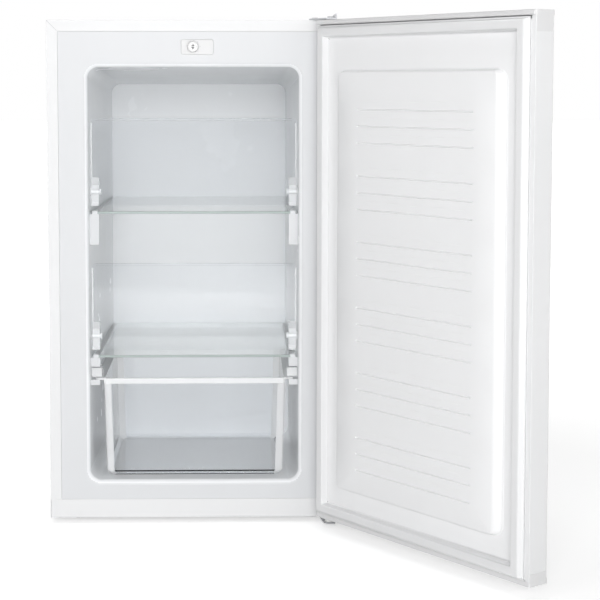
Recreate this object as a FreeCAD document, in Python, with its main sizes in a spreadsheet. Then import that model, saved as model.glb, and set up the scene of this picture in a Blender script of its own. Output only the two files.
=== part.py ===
import FreeCAD, Part
import math
import os

import Sketcher

# Under-counter upright freezer: cabinet, door, shelves, flaps, drawer and cooling unit.
# Millimetres, +Z up, origin on the floor below the middle of the cabinet's front plane.
# +X is to the right of a person facing the open cabinet and +Y runs into the cabinet.
# The door is drawn closed about its hinge axis and then swung to its rest angle.

V = FreeCAD.Vector
doc = FreeCAD.newDocument("UprightFreezer")
sheet = doc.addObject("Spreadsheet::Sheet", "Dims")

# ---------------------------------------------------------------------------------------------
# Driving sizes
# ---------------------------------------------------------------------------------------------
SIZES = {
    # cabinet
    "cab_width": 485.0,
    "cab_height": 845.0,
    "cab_depth": 500.0,
    "cab_base": 9.0,
    "steel": 0.7,
    "flange_width": 18.5,
    "flange_return": 9.0,
    "corner_round": 2.0,
    "mitre_gap": 0.4,
    "seam_gap": 0.3,
    "rail_height": 31.5,
    "rail_depth": 60.0,
    "rail_lip": 18.0,
    "back_inset": 15.0,
    "bay_depth": 134.0,
    "bay_top": 215.0,
    # liner
    "liner_wall": 2.0,
    "mouth_side": 67.0,
    "mouth_low": 73.0,
    "mouth_drop": 77.0,
    "mouth_corner": 18.0,
    "mouth_roll": 9.0,
    "rear_room": 79.0,
    "side_draft": 9.0,
    "roof_draft": 28.0,
    "floor_draft": 3.0,
    "hump_wall": 38.0,
    "hump_lean": 4.0,
    "hump_cover": 47.0,
    "hump_bend": 6.0,
    # shelves and their ledges
    "hump_to_shelf": 15.0,
    "top_room": 246.5,
    "glass": 4.0,
    "glass_front": 30.0,
    "glass_back_gap": 19.0,
    "glass_side_gap": 6.0,
    "ledge_reach": 15.5,
    "ledge_height": 11.0,
    "gusset_upper": 52.0,
    "gusset_lower": 15.0,
    "gusset_depth": 15.0,
    "rail_drop": 37.0,
    "rail_thick": 9.0,
    # shelf end trims
    "trim_width": 7.0,
    "trim_wrap": 12.0,
    "trim_wall": 1.6,
    # flaps
    "flap_front": 24.0,
    "flap_wall": 2.5,
    "flap_rim": 2.2,
    "flap_gap": 3.0,
    "flap_raise": 10.0,
    "flap_mouth_upper": 85.5,
    "flap_mouth_lower": 83.5,
    "flap_edge": 8.0,
    "ear_width": 12.5,
    "ear_height": 48.0,
    "ear_depth": 20.0,
    "ear_rib": 1.4,
    "ear_rib_pitch": 4.6,
    "pivot_radius": 3.5,
    "pivot_play": 0.3,
    "pivot_raise": 33.0,
    "pivot_back": 10.0,
    "pivot_head": 5.5,
    "pivot_flange": 8.0,
    "pivot_plate": 1.5,
    # drawer
    "bin_side_gap": 21.5,
    "bin_draft": 4.5,
    "bin_front": 20.0,
    "bin_back_gap": 12.0,
    "bin_lift": 2.5,
    "bin_drop": 33.5,
    "bin_wall": 2.4,
    "bin_corner": 12.0,
    "bin_foot": 6.0,
    "bin_rim": 3.2,
    "bin_rim_reach": 13.0,
    "run_gap": 0.4,
    "guide_height": 16.0,
    "guide_length": 34.0,
    # thermostat
    "dial_drop": 44.0,
    "dial_radius": 9.6,
    "dial_gap": 0.7,
    "dial_depth": 5.0,
    "bezel_left": 20.0,
    "bezel_right": 34.0,
    "bezel_below": 13.0,
    "bezel_above": 12.0,
    "bezel_thick": 3.5,
    "bezel_round": 3.0,
    "spindle_radius": 3.0,
    "stat_width": 34.0,
    "stat_height": 20.0,
    "stat_depth": 30.0,
    # door
    "hinge_side": 16.0,
    "hinge_inset": 16.0,
    "door_thick": 38.0,
    "door_gap": 12.0,
    "door_low": 16.5,
    "door_top_drop": 1.0,
    "rest_angle": 126.2,
    "door_lip": 8.0,
    "skin_round": 3.0,
    "door_liner_wall": 2.5,
    "cap_lip": 8.0,
    "cap_plug": 14.0,
    "cap_proud": 0.8,
    "cap_end_high": 31.0,
    "cap_end_low": 19.0,
    "grip_length": 130.0,
    "grip_width": 20.0,
    "grip_depth": 14.0,
    "plateau_edge": 53.0,
    "plateau_side": 15.5,
    "plateau_end": 5.0,
    "plateau_foot": 61.0,
    "plateau_head": 82.5,
    "plateau_rise": 9.0,
    "plateau_corner": 20.0,
    "groove_side": 58.5,
    "groove_width": 4.4,
    "groove_depth": 1.5,
    "groove_pitch": 26.5,
    "groove_count": 3.0,
    "group_count": 6.0,
    "groove_head": 62.5,
    "groove_foot": 41.0,
    # gasket
    "seal_outer": 9.5,
    "seal_inner": 29.0,
    "seal_foot": 3.5,
    "bulb_outer": 12.0,
    "bulb_inner": 27.0,
    "seal_height": 11.3,
    "seal_skin": 1.5,
    "dart_place": 17.0,
    "dart_width": 3.0,
    "dart_depth": 5.0,
    "dart_play": 0.3,
    # hinges
    "pin_radius": 4.0,
    "pin_play": 0.25,
    "plate_thick": 2.5,
    "bush_radius": 7.5,
    "bush_depth": 14.0,
    "bush_head": 0.6,
    "pin_reach": 13.0,
    "plate_in": 33.5,
    "plate_out": 9.5,
    "plate_back": 42.0,
    "plate_rim": 7.0,
    "low_plate_in": 14.5,
    "low_plate_back": 58.0,
    "spacer_radius": 8.0,
    # feet
    "foot_side": 42.5,
    "foot_y": 38.0,
    "foot_radius": 8.6,
    "foot_pad": 6.0,
    "stud_radius": 4.0,
    "stud_play": 0.3,
    "stud_length": 32.0,
    "nut_height": 7.0,
    "nut_flats": 13.0,
    "rear_foot_gap": 38.0,
    "rear_foot_radius": 12.0,
    # machine bay
    "tray_height": 13.0,
    "tray_thick": 1.5,
    "tray_lip": 15.0,
    "tray_front_gap": 6.0,
    "tray_back_gap": 4.0,
    "comp_side": 180.5,
    "comp_back": 67.0,
    "comp_width": 178.0,
    "comp_depth": 112.0,
    "comp_low": 32.0,
    "comp_height": 148.0,
    "comp_seam": 88.0,
    "comp_dome": 30.0,
    "comp_foot_round": 16.0,
    "comp_rim": 4.0,
    "mount_x": 152.0,
    "mount_y": 92.0,
    "mount_plate": 2.5,
    "mount_margin": 13.0,
    "grommet_radius": 10.0,
    "grommet_height": 13.0,
    "bolt_radius": 3.0,
    "bolt_play": 0.3,
    "bolt_head": 4.0,
    "bolt_flats": 10.0,
    "relay_width": 34.0,
    "relay_depth": 52.0,
    "relay_height": 66.0,
    "relay_low": 76.0,
    "gland_radius": 7.0,
    "gland_reach": 9.0,
    "gland_high": 14.0,
    "cord_bore": 4.0,
    # refrigerant circuit
    "pipe_radius": 3.2,
    "cond_radius": 2.4,
    "cond_side": 70.5,
    "cond_lift": 47.0,
    "cond_drop": 83.0,
    "cond_turn": 18.0,
    "cond_passes": 9.0,
    "cond_stand": 8.0,
    "wire_radius": 0.8,
    "wire_count": 15.0,
    "wire_edge": 20.0,
    "wire_over": 14.0,
    "clip_width": 14.0,
    "clip_height": 20.0,
    "clip_in": 24.75,
    "drier_radius": 6.2,
    "drier_drop": 19.0,
    "drier_offset": 34.0,
    "drier_length": 90.0,
    "drier_neck": 14.0,
    "capillary_radius": 1.0,
    # evaporator in the foam
    "evap_side": 27.5,
    "evap_lift": 38.0,
    "evap_drop": 50.0,
    "evap_plate": 1.2,
    "evap_room": 7.0,
    "evap_tube": 2.4,
    "evap_turn": 40.0,
    "evap_margin": 30.0,
    "evap_runs": 7.0,
}


class Size:
    """A number together with the sheet expression that gives it."""

    def __init__(self, value, text):
        self.value = float(value)
        self.text = text

    def __add__(self, other):
        other = size(other)
        return Size(self.value + other.value, f"({self.text} + {other.text})")

    def __radd__(self, other):
        return size(other) + self

    def __sub__(self, other):
        other = size(other)
        return Size(self.value - other.value, f"({self.text} - {other.text})")

    def __rsub__(self, other):
        return size(other) - self

    def __mul__(self, other):
        other = size(other)
        return Size(self.value * other.value, f"({self.text} * {other.text})")

    def __rmul__(self, other):
        return size(other) * self

    def __truediv__(self, other):
        other = size(other)
        return Size(self.value / other.value, f"({self.text} / {other.text})")

    def __neg__(self):
        return Size(-self.value, f"(-1 * {self.text})")


def size(number):
    """Any number as a Size."""
    if isinstance(number, Size):
        return number
    return Size(number, f"({float(number)!r})")


def arc_tangent(ratio):
    """Angle in degrees whose tangent is the given ratio."""
    return Size(math.degrees(math.atan(ratio.value)), f"atan({ratio.text})")


class Dims:
    """The sheet's named cells as attributes."""


D = Dims()
for row, (alias, number) in enumerate(SIZES.items(), start=1):
    sheet.set(f"A{row}", alias)
    sheet.set(f"B{row}", repr(number))
    sheet.setAlias(f"B{row}", alias)
    setattr(D, alias, Size(number, f"Dims.{alias}"))
doc.recompute()

parts = []


def keep(thing, label):
    """Name a finished sub-part and put it on the list of files."""
    thing.Label = label
    parts.append(thing)
    return thing


# ---------------------------------------------------------------------------------------------
# Bodies, sketches and features
# ---------------------------------------------------------------------------------------------
class Piece:
    """A PartDesign body with short calls for its features."""

    def __init__(self, name):
        self.body = doc.addObject("PartDesign::Body", name)
        self.name = name
        self.count = 0

    def origin(self, role):
        return next(item for item in self.body.Origin.OriginFeatures if item.Role == role)

    def _new(self, kind, word):
        self.count += 1
        return self.body.newObject(kind, f"{self.name}_{word}{self.count}")

    def sketch(self, role, level=0):
        """A sketch parallel to an origin plane, `level` along the world axis square to it."""
        item = self._new("Sketcher::SketchObject", "sketch")
        item.AttachmentSupport = (self.origin(role), [""])
        item.MapMode = "FlatFace"
        level = size(level)
        shift = -level if role == "XZ_Plane" else level
        item.AttachmentOffset = FreeCAD.Placement(V(0, 0, shift.value), FreeCAD.Rotation())
        item.setExpression("AttachmentOffset.Base.z", shift.text)
        return item

    def _reverse(self, sketch, forward, kind):
        role = sketch.AttachmentSupport[0][0].Role
        along = role != "XZ_Plane"
        return (along != forward) if kind == "pad" else (along == forward)

    def pad(self, sketch, length, forward=True, both=False, taper=None):
        item = self._new("PartDesign::Pad", "pad")
        item.Profile = sketch
        bind(item, "Length", length)
        if both:
            item.SideType = "Symmetric"
        else:
            item.Reversed = self._reverse(sketch, forward, "pad")
        if taper is not None:
            bind(item, "TaperAngle", taper)
        sketch.Visibility = False
        return item

    def pocket(self, sketch, length=None, forward=True, both=False, taper=None):
        before = self.volume()
        item = self._new("PartDesign::Pocket", "pocket")
        item.Profile = sketch
        if length is None:
            item.Type = "ThroughAll"
        else:
            bind(item, "Length", length)
        if both:
            item.SideType = "Symmetric"
        else:
            item.Reversed = self._reverse(sketch, forward, "pocket")
        if taper is not None:
            bind(item, "TaperAngle", taper)
        if self.volume() > before - 1e-3:
            raise RuntimeError(f"{item.Name} cuts nothing")
        return item

    def volume(self):
        doc.recompute()
        return self.body.Shape.Volume

    def loft(self, first, last, cut=False):
        kind = "PartDesign::SubtractiveLoft" if cut else "PartDesign::AdditiveLoft"
        item = self._new(kind, "loft")
        item.Profile = first
        item.Sections = [last]
        item.Ruled = True
        return item

    def turn(self, sketch, axis="Z_Axis", cut=False):
        kind = "PartDesign::Groove" if cut else "PartDesign::Revolution"
        item = self._new(kind, "turn")
        item.Profile = sketch
        item.ReferenceAxis = (self.origin(axis), [""])
        item.Angle = 360.0
        return item

    def round(self, pick, radius):
        doc.recompute()
        tip = self.body.Tip
        names = edge_names(tip.Shape, pick)
        item = self._new("PartDesign::Fillet", "round")
        item.Base = (tip, names)
        bind(item, "Radius", radius)
        return item

    def bevel(self, pick, width):
        doc.recompute()
        tip = self.body.Tip
        item = self._new("PartDesign::Chamfer", "bevel")
        item.Base = (tip, edge_names(tip.Shape, pick))
        bind(item, "Size", width)
        return item

    def mirror(self, features, role):
        doc.recompute()
        item = self._new("PartDesign::Mirrored", "mirror")
        item.Originals = features
        item.MirrorPlane = (self.origin(role), [""])
        self.body.Tip = item
        return item

    def row(self, features, axis, span, count, backward=False):
        doc.recompute()
        item = self._new("PartDesign::LinearPattern", "row")
        item.Originals = features
        item.Direction = (self.origin(axis), [""])
        item.Reversed = backward
        bind(item, "Length", span)
        item.Occurrences = int(count.value)
        item.setExpression("Occurrences", count.text)
        self.body.Tip = item
        return item

    def spread(self, features, steps):
        """Several patterns in turn: (plane,) mirrors and (axis, span, count, backward) rows."""
        doc.recompute()
        multi = self._new("PartDesign::MultiTransform", "spread")
        multi.Originals = features
        made = []
        for place, *amounts in steps:
            if amounts:
                span_, count, backward = amounts
                step = self._new("PartDesign::LinearPattern", "step")
                step.Direction = (self.origin(place), [""])
                step.Reversed = backward
                bind(step, "Length", span_)
                step.Occurrences = int(count.value)
                step.setExpression("Occurrences", count.text)
            else:
                step = self._new("PartDesign::Mirrored", "step")
                step.MirrorPlane = (self.origin(place), [""])
            made.append(step)
        multi.Transformations = made
        self.body.Tip = multi
        return multi

    def at(self, x=0, y=0, z=0):
        for axis, place in zip("xyz", (x, y, z)):
            place = size(place)
            self.body.setExpression(f"Placement.Base.{axis}", place.text)
        return self

    def keep(self, label=None):
        return keep(self.body, label or self.name)


def bind(item, name, amount):
    """Set a property from a size and tie it to the sheet."""
    amount = size(amount)
    setattr(item, name, amount.value)
    item.setExpression(name, amount.text)


def edge_names(shape, pick):
    names = [f"Edge{n}" for n, edge in enumerate(shape.Edges, start=1) if pick(edge)]
    if not names:
        raise RuntimeError("no edge matches")
    return names


def tie(sketch, kind, *args):
    """Add a dimension whose last argument is a size, tied to the sheet."""
    amount = size(args[-1])
    index = sketch.addConstraint(Sketcher.Constraint(kind, *args[:-1], amount.value))
    name = f"size{index}"
    sketch.renameConstraint(index, name)
    sketch.setExpression(f"Constraints.{name}", amount.text)


def polygon(sketch, points):
    """A closed polygon, each corner placed from the sketch's origin."""
    points = [(size(a), size(b)) for a, b in points]
    first = sketch.GeometryCount
    count = len(points)
    for n, (a, b) in enumerate(points):
        after = points[(n + 1) % count]
        start = V(a.value, b.value, 0)
        sketch.addGeometry(Part.LineSegment(start, V(after[0].value, after[1].value, 0)), False)
    for n in range(count):
        sketch.addConstraint(
            Sketcher.Constraint("Coincident", first + n, 2, first + (n + 1) % count, 1))
    for n, (a, b) in enumerate(points):
        tie(sketch, "DistanceX", -1, 1, first + n, 1, a)
        tie(sketch, "DistanceY", -1, 1, first + n, 1, b)


def box(sketch, low_x, high_x, low_y, high_y):
    """A rectangle between four sizes."""
    polygon(sketch, [(low_x, low_y), (high_x, low_y), (high_x, high_y), (low_x, high_y)])


def circle(sketch, x, y, radius):
    """A circle placed from the sketch's origin."""
    x, y, radius = size(x), size(y), size(radius)
    index = sketch.addGeometry(Part.Circle(V(x.value, y.value, 0), V(0, 0, 1), radius.value), False)
    tie(sketch, "DistanceX", -1, 1, index, 3, x)
    tie(sketch, "DistanceY", -1, 1, index, 3, y)
    tie(sketch, "Radius", index, radius)


def rounded(sketch, low_x, high_x, low_y, high_y, radius):
    """A rectangle with four tangent corner arcs of one radius."""
    x0, x1, y0, y1, r = (size(n) for n in (low_x, high_x, low_y, high_y, radius))
    a, b, c, d, q = x0.value, x1.value, y0.value, y1.value, r.value
    lines = [(a + q, c, b - q, c), (b, c + q, b, d - q), (b - q, d, a + q, d), (a, d - q, a, c + q)]
    centres = [(b - q, c + q, -90), (b - q, d - q, 0), (a + q, d - q, 90), (a + q, c + q, 180)]
    base = sketch.GeometryCount
    for line, (cx, cy, start) in zip(lines, centres):
        sketch.addGeometry(Part.LineSegment(V(line[0], line[1], 0), V(line[2], line[3], 0)), False)
        whole = Part.Circle(V(cx, cy, 0), V(0, 0, 1), q)
        arc = Part.ArcOfCircle(whole, math.radians(start), math.radians(start + 90))
        sketch.addGeometry(arc, False)
    for n in range(4):
        line, arc, after = base + 2 * n, base + 2 * n + 1, base + (2 * n + 2) % 8
        sketch.addConstraint(Sketcher.Constraint("Tangent", line, 2, arc, 1))
        sketch.addConstraint(Sketcher.Constraint("Tangent", arc, 2, after, 1))
    for n in (0, 2):
        sketch.addConstraint(Sketcher.Constraint("Horizontal", base + 2 * n))
    sketch.addConstraint(Sketcher.Constraint("Vertical", base + 2))
    for n in (1, 2, 3):
        sketch.addConstraint(Sketcher.Constraint("Equal", base + 1, base + 2 * n + 1))
    tie(sketch, "Radius", base + 1, r)
    tie(sketch, "DistanceY", -1, 1, base, 1, y0)
    tie(sketch, "DistanceX", -1, 1, base + 2, 1, x1)
    tie(sketch, "DistanceY", -1, 1, base + 4, 1, y1)
    tie(sketch, "DistanceX", -1, 1, base + 6, 1, x0)


def gon(sketch, x, y, radius, sides):
    """A regular polygon about a point, its corners on the given radius."""
    x, y, radius = size(x), size(y), size(radius)
    step = 2 * math.pi / sides
    polygon(sketch, [(x + radius * math.cos(step * (n + 0.5)), y + radius * math.sin(step * (n + 0.5)))
                     for n in range(sides)])


def eased(sketch, low_x, high_x, low_y, high_y, radius, steps=1):
    """A rectangle whose corners are cut in equal steps of a quarter round."""
    x0, x1, y0, y1, r = (size(n) for n in (low_x, high_x, low_y, high_y, radius))
    points = []
    for corner, (cx, cy) in enumerate(((x1 - r, y1 - r), (x0 + r, y1 - r),
                                       (x0 + r, y0 + r), (x1 - r, y0 + r))):
        for n in range(steps + 1):
            turn = math.radians(90 * (corner + n / steps))
            points.append((cx + r * round(math.cos(turn), 9), cy + r * round(math.sin(turn), 9)))
    polygon(sketch, points)


def ring(sketch, outer, inner):
    """The area between two rectangles, each (low x, high x, low y, high y)."""
    box(sketch, *outer)
    box(sketch, *inner)


def cut(label, base, tool):
    """Base less tool as a Part::Cut."""
    item = doc.addObject("Part::Cut", label)
    item.Base = getattr(base, "body", base)
    item.Tool = getattr(tool, "body", tool)
    return item


def span(edge, axis):
    """Extent of an edge along one axis."""
    return getattr(edge.BoundBox, f"{axis}Length")


def along(axis, near=None):
    """Pick straight edges along an axis, optionally only those passing near given coordinates."""
    def pick(edge):
        if len(edge.Vertexes) != 2 or span(edge, axis) < 1e-3:
            return False
        if any(span(edge, other) > 1e-3 for other in "XYZ" if other != axis):
            return False
        middle = edge.BoundBox.Center
        places = near or {}
        return all(
            any(abs(getattr(middle, name.lower()) - size(value).value) < 0.05 for value in values)
            for name, values in places.items())
    return pick


def slanted(radius_side):
    """Pick the long edges that run into the cabinet on one side wall's outline."""
    def pick(edge):
        return span(edge, "Y") > 100 and span(edge, "X") > 1 and abs(
            edge.BoundBox.Center.x) > radius_side.value
    return pick


def at_level(axis, level, inside=None):
    """Pick edges lying in a plane square to an axis, optionally with their centre inside limits."""
    def pick(edge):
        middle = edge.BoundBox.Center
        if span(edge, axis) > 1e-3 or abs(getattr(middle, axis.lower()) - size(level).value) > 0.02:
            return False
        limits = inside or {}
        return all(low <= getattr(middle, name.lower()) <= high
                   for name, (low, high) in limits.items())
    return pick


# ---------------------------------------------------------------------------------------------
# Levels that several pieces share
# ---------------------------------------------------------------------------------------------
half = D.cab_width / 2
inner_half = half - D.steel
flange_half = half - D.flange_width
rail_high = D.cab_base + D.rail_height
back_plane = D.cab_depth - D.back_inset
bay_wall = D.cab_depth - D.bay_depth
liner_edge = flange_half - D.seam_gap
liner_high = D.cab_height - D.flange_width - D.seam_gap
liner_low = rail_high + D.seam_gap
D.mouth_half = half - D.mouth_side
D.mouth_high = D.cab_height - D.mouth_drop
D.liner_depth = D.cab_depth - D.rear_room
back_half = D.mouth_half - D.side_draft
back_high = D.mouth_high - D.roof_draft
back_low = D.mouth_low + D.floor_draft
D.hump_foot = bay_wall - D.hump_wall
D.hump_top = D.bay_top + D.hump_cover
D.shelf_lower = D.hump_top + D.hump_to_shelf
D.shelf_upper = D.mouth_high - D.top_room
D.glass_back = D.liner_depth - D.glass_back_gap
D.rail_top = D.shelf_lower - D.rail_drop
D.bin_half = D.mouth_half - D.bin_side_gap
D.bin_low = D.mouth_low + D.bin_lift
D.bin_high = D.shelf_lower - D.bin_drop
D.dial_height = D.cab_height - D.dial_drop
D.foot_x = half - D.foot_side
D.rear_foot_y = D.cab_depth - D.rear_foot_gap
D.tray_front = bay_wall + D.tray_front_gap
D.tray_back = D.cab_depth - D.tray_back_gap
D.comp_x = D.comp_side - half
D.comp_y = bay_wall + D.comp_back
D.cond_half = half - D.cond_side
D.cond_low = D.bay_top + D.cond_lift
cond_top = D.cab_height - D.cond_drop
cond_pitch = (cond_top - D.cond_low) / (D.cond_passes - 1)
wire_pitch = (D.cond_half - D.wire_edge) * 2 / (D.wire_count - 1)
D.clip_x = D.cond_half - D.clip_in
D.drier_high = D.bay_top - D.drier_drop
D.evap_half = D.mouth_half - D.evap_side
D.evap_low = D.hump_top + D.evap_lift
D.evap_high = back_high - D.evap_drop


# ---------------------------------------------------------------------------------------------
# Cabinet shell
# ---------------------------------------------------------------------------------------------
def outer_wrapper():
    """Folded steel U: two sides and the top, with a mitred front flange and its return."""
    piece = Piece("outer_wrapper")
    base = D.cab_base
    top = D.cab_height
    profile = piece.sketch("XZ_Plane", 0)
    t = D.steel
    polygon(profile, [(-half, base), (t - half, base), (t - half, top - t), (half - t, top - t),
                      (half - t, base), (half, base), (half, top), (-half, top)])
    piece.pad(profile, D.cab_depth)
    low = rail_high
    front = piece.sketch("XZ_Plane", 0)
    w = D.flange_width
    polygon(front, [(-half, low), (w - half, low), (w - half, top - w), (half - w, top - w),
                    (half - w, low), (half, low), (half, top), (-half, top)])
    piece.pad(front, t)
    lip = piece.sketch("XZ_Plane", 0)
    polygon(lip, [(w - half - t, low), (w - half, low), (w - half, top - w), (half - w, top - w),
                  (half - w, low), (half - w + t, low), (half - w + t, top - w + t),
                  (w - half - t, top - w + t)])
    piece.pad(lip, D.flange_return)
    rear = piece.sketch("XZ_Plane", back_plane - t)
    polygon(rear, [(t - half, D.bay_top), (w - half, D.bay_top), (w - half, top - w),
                   (half - w, top - w), (half - w, D.bay_top), (half - t, D.bay_top),
                   (half - t, top - t), (t - half, top - t)])
    piece.pad(rear, t)
    slit = piece.sketch("XZ_Plane", 0)
    g = D.mitre_gap
    polygon(slit, [(g * 3 - half, top - g * 3 - g), (w - half - t * 2, top - w + t * 2 - g),
                   (w - half - t * 2, top - w + t * 2), (g * 3 - half, top - g * 3)])
    mitre = piece.pocket(slit, t)
    piece.mirror([mitre], "YZ_Plane")
    edges = along("Y", {"X": [-half, half], "Z": [top]})
    piece.round(edges, D.corner_round)
    holes = piece.sketch("XY_Plane", top)
    for x, y in top_screw_places():
        gon(holes, x, y, D.bolt_radius, 8)
    piece.pocket(holes, t, forward=False)
    return piece.keep()


def front_rail():
    """Folded channel across the bottom front, carrying the feet and the lower hinge."""
    piece = Piece("front_rail")
    t = D.steel
    edge = inner_half - D.seam_gap
    profile = piece.sketch("YZ_Plane", 0)
    low, high, deep = D.cab_base, rail_high, D.rail_depth
    polygon(profile, [(0, low), (deep, low), (deep, low + 6), (deep - t, low + 6), (deep - t, low + t),
                      (t, low + t), (t, high - t), (D.rail_lip, high - t), (D.rail_lip, high),
                      (0, high)])
    piece.pad(profile, edge * 2, both=True)
    holes = piece.sketch("XY_Plane", low)
    for side in (-1, 1):
        gon(holes, D.foot_x * side, D.foot_y, D.stud_radius + D.stud_play * 2, 8)
    for x, y in low_screw_places():
        gon(holes, x, y, D.bolt_radius, 8)
    piece.pocket(holes, t * 2)
    piece.round(along("X", {"Y": [0], "Z": [low, high]}), D.steel)
    return piece.keep()


def foot_nuts():
    """Weld nuts that the front feet's studs run in."""
    piece = Piece("foot_nuts")
    low = D.cab_base + D.steel
    flats = piece.sketch("XY_Plane", low)
    r = D.nut_flats / 2
    k = r * 0.57735
    corners = [(k, r), (k * 2, 0), (k, -r), (-k, -r), (-(k * 2), 0), (-k, r)]
    polygon(flats, [(D.foot_x + a, D.foot_y + b) for a, b in corners])
    gon(flats, D.foot_x, D.foot_y, D.stud_radius + D.stud_play * 2, 8)
    pad = piece.pad(flats, D.nut_height)
    piece.mirror([pad], "YZ_Plane")
    return piece.keep()


def tub(piece, grow):
    """Drafted tub between the mouth and the back wall, grown all round by one amount."""
    deep = D.liner_depth + grow
    side = piece.sketch("YZ_Plane", 0)
    polygon(side, [(0, D.mouth_low - grow), (deep, back_low - grow), (deep, back_high + grow),
                   (0, D.mouth_high + grow)])
    piece.pad(side, (D.mouth_half + grow) * 2, both=True)
    draft = piece.sketch("XY_Plane", 0)
    wide = D.mouth_half + grow
    polygon(draft, [(wide, 0), (wide + 9, 0), (wide + 9, deep + 9), (back_half + grow, deep + 9),
                    (back_half + grow, deep)])
    wedge = piece.pocket(draft, forward=True)
    piece.mirror([wedge], "YZ_Plane")


def mouth_zone(grow):
    """Limits that hold the centres of the mouth's own edges."""
    wide = D.mouth_half.value + grow.value + 1
    return {"X": (-wide, wide),
            "Z": (D.mouth_low.value - grow.value - 1, D.mouth_high.value + grow.value + 1)}


def hump_outline(grow):
    """Side profile of the step over the machine bay, shrunk by `grow`, as far as the bay floor."""
    slope = D.hump_lean
    foot, top = D.hump_foot + grow, D.hump_top - grow
    deep = D.liner_depth + D.liner_wall * 4
    return [(foot, D.mouth_low - 30), (foot, back_low), (foot + slope, top), (deep, top + slope),
            (deep, D.mouth_low - 30)]


def ledges(piece):
    """Notches in the former that leave the moulded shelf ledges, gussets and drawer rails."""
    reach = D.mouth_half - D.ledge_reach
    made = []
    for level, gusset in ((D.shelf_upper, D.gusset_upper), (D.shelf_lower, D.gusset_lower)):
        side = piece.sketch("YZ_Plane", reach)
        front, back = D.glass_front - 3, D.glass_back + 4
        low = level - D.ledge_height
        polygon(side, [(front, level), (back, level), (back, low),
                       (front + D.gusset_depth * 2, low),
                       (front + D.gusset_depth, level - gusset), (front, level - gusset)])
        made.append(piece.pocket(side, D.ledge_reach * 2))
    run = piece.sketch("YZ_Plane", reach)
    box(run, D.bin_front + 4, D.hump_foot - 4, D.rail_top - D.rail_thick, D.rail_top)
    made.append(piece.pocket(run, D.ledge_reach * 2))
    piece.mirror(made, "YZ_Plane")


def inner_liner():
    """Vacuum-formed liner: front flange, rolled mouth, drafted tub, ledges and machine-bay hump."""
    t = D.liner_wall
    shell = Piece("liner_shell")
    tub(shell, t)
    shell.bevel(slanted(D.mouth_half / 2), D.mouth_corner / 2)
    plate = shell.sketch("XZ_Plane", 0)
    box(plate, -liner_edge, liner_edge, liner_low, liner_high)
    shell.pad(plate, t)
    shell.bevel(at_level("Y", t, mouth_zone(t)), D.mouth_roll - t * 2)

    former = Piece("liner_former")
    tub(former, size(0))
    former.round(slanted(D.mouth_half / 2), D.mouth_corner)
    lead = former.sketch("XZ_Plane", 0)
    box(lead, -(D.mouth_half + 40), D.mouth_half + 40, D.mouth_low - 28, D.mouth_high + 40)
    former.pad(lead, 6, forward=False)
    former.round(at_level("Y", 0, mouth_zone(size(0))), D.mouth_roll)
    step = former.sketch("YZ_Plane", 0)
    polygon(step, hump_outline(size(0)))
    former.pocket(step, D.cab_width * 2, both=True)
    pick = along("X", {"Z": [D.hump_top]})
    former.round(pick, D.hump_bend)
    ledges(former)

    room = Piece("bay_former")
    back = room.sketch("YZ_Plane", 0)
    polygon(back, hump_outline(t))
    room.pad(back, D.cab_width, both=True)
    formed = cut("liner_formed", shell, former)
    trimmed = cut("liner_trimmed", formed, room)

    slots = Piece("stat_opening")
    hole = slots.sketch("XZ_Plane", -2)
    circle(hole, 0, D.dial_height, D.spindle_radius + 2)
    slots.pad(hole, 8)
    return keep(cut("inner_liner", trimmed, slots), "inner_liner")


def foam_insulation():
    """Foamed-in insulation between the liner and the outer skins."""
    t = D.liner_wall
    block = Piece("foam_block")
    side = block.sketch("YZ_Plane", 0)
    steel = D.steel
    low = rail_high + D.seam_gap + steel
    roof = D.bay_top + steel
    polygon(side, [(t, low), (bay_wall - steel, low), (bay_wall - steel, roof),
                   (back_plane - steel, roof), (back_plane - steel, D.cab_height - steel),
                   (t, D.cab_height - steel)])
    block.pad(side, inner_half * 2, both=True)
    # channel behind the wrapper's folded flange
    channel = block.sketch("XZ_Plane", 0)
    w = D.flange_width + 0.3
    top = D.cab_height
    polygon(channel, [(-half, 0), (w - half, 0), (w - half, top - w), (half - w, top - w),
                      (half - w, 0), (half, 0), (half, top), (-half, top)])
    block.pocket(channel, D.flange_return + 0.3)
    body = block.sketch("XZ_Plane", 0)
    box(body, -(D.stat_width / 2 + 0.3), D.stat_width / 2 + 0.3,
        D.dial_height - D.stat_height / 2 - 0.3, D.dial_height + D.stat_height / 2 + 0.3)
    block.pocket(body, D.stat_depth + t + 0.5)
    recess = block.sketch("XZ_Plane", D.liner_depth + t)
    box(recess, -(D.evap_half + 2), D.evap_half + 2, D.evap_low - 2, D.evap_high + 2)
    block.pocket(recess, D.evap_room)

    core = Piece("foam_core")
    tub(core, t)
    step = core.sketch("YZ_Plane", 0)
    polygon(step, hump_outline(t))
    core.pocket(step, D.cab_width * 2, both=True)
    # the recess for the rolled mouth
    face = core.sketch("XZ_Plane", t)
    box(face, -(D.mouth_half + 40), D.mouth_half + 40, D.mouth_low - 28, D.mouth_high + 40)
    core.pad(face, 4, forward=False)
    core.bevel(at_level("Y", t, mouth_zone(t)), D.mouth_roll - t * 2)
    return keep(cut("foam_insulation", block, core), "foam_insulation")


def base_pan():
    """Folded sheet under the insulation: floor, front wall of the machine bay and its ceiling."""
    piece = Piece("base_pan")
    t = D.steel
    low = rail_high + D.seam_gap
    side = piece.sketch("YZ_Plane", 0)
    polygon(side, [(D.rail_lip + 1, low), (bay_wall, low), (bay_wall, D.bay_top),
                   (back_plane - t, D.bay_top), (back_plane - t, D.bay_top + t),
                   (bay_wall - t, D.bay_top + t), (bay_wall - t, low + t), (D.rail_lip + 1, low + t)])
    piece.pad(side, (inner_half) * 2, both=True)
    return piece.keep()


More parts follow.
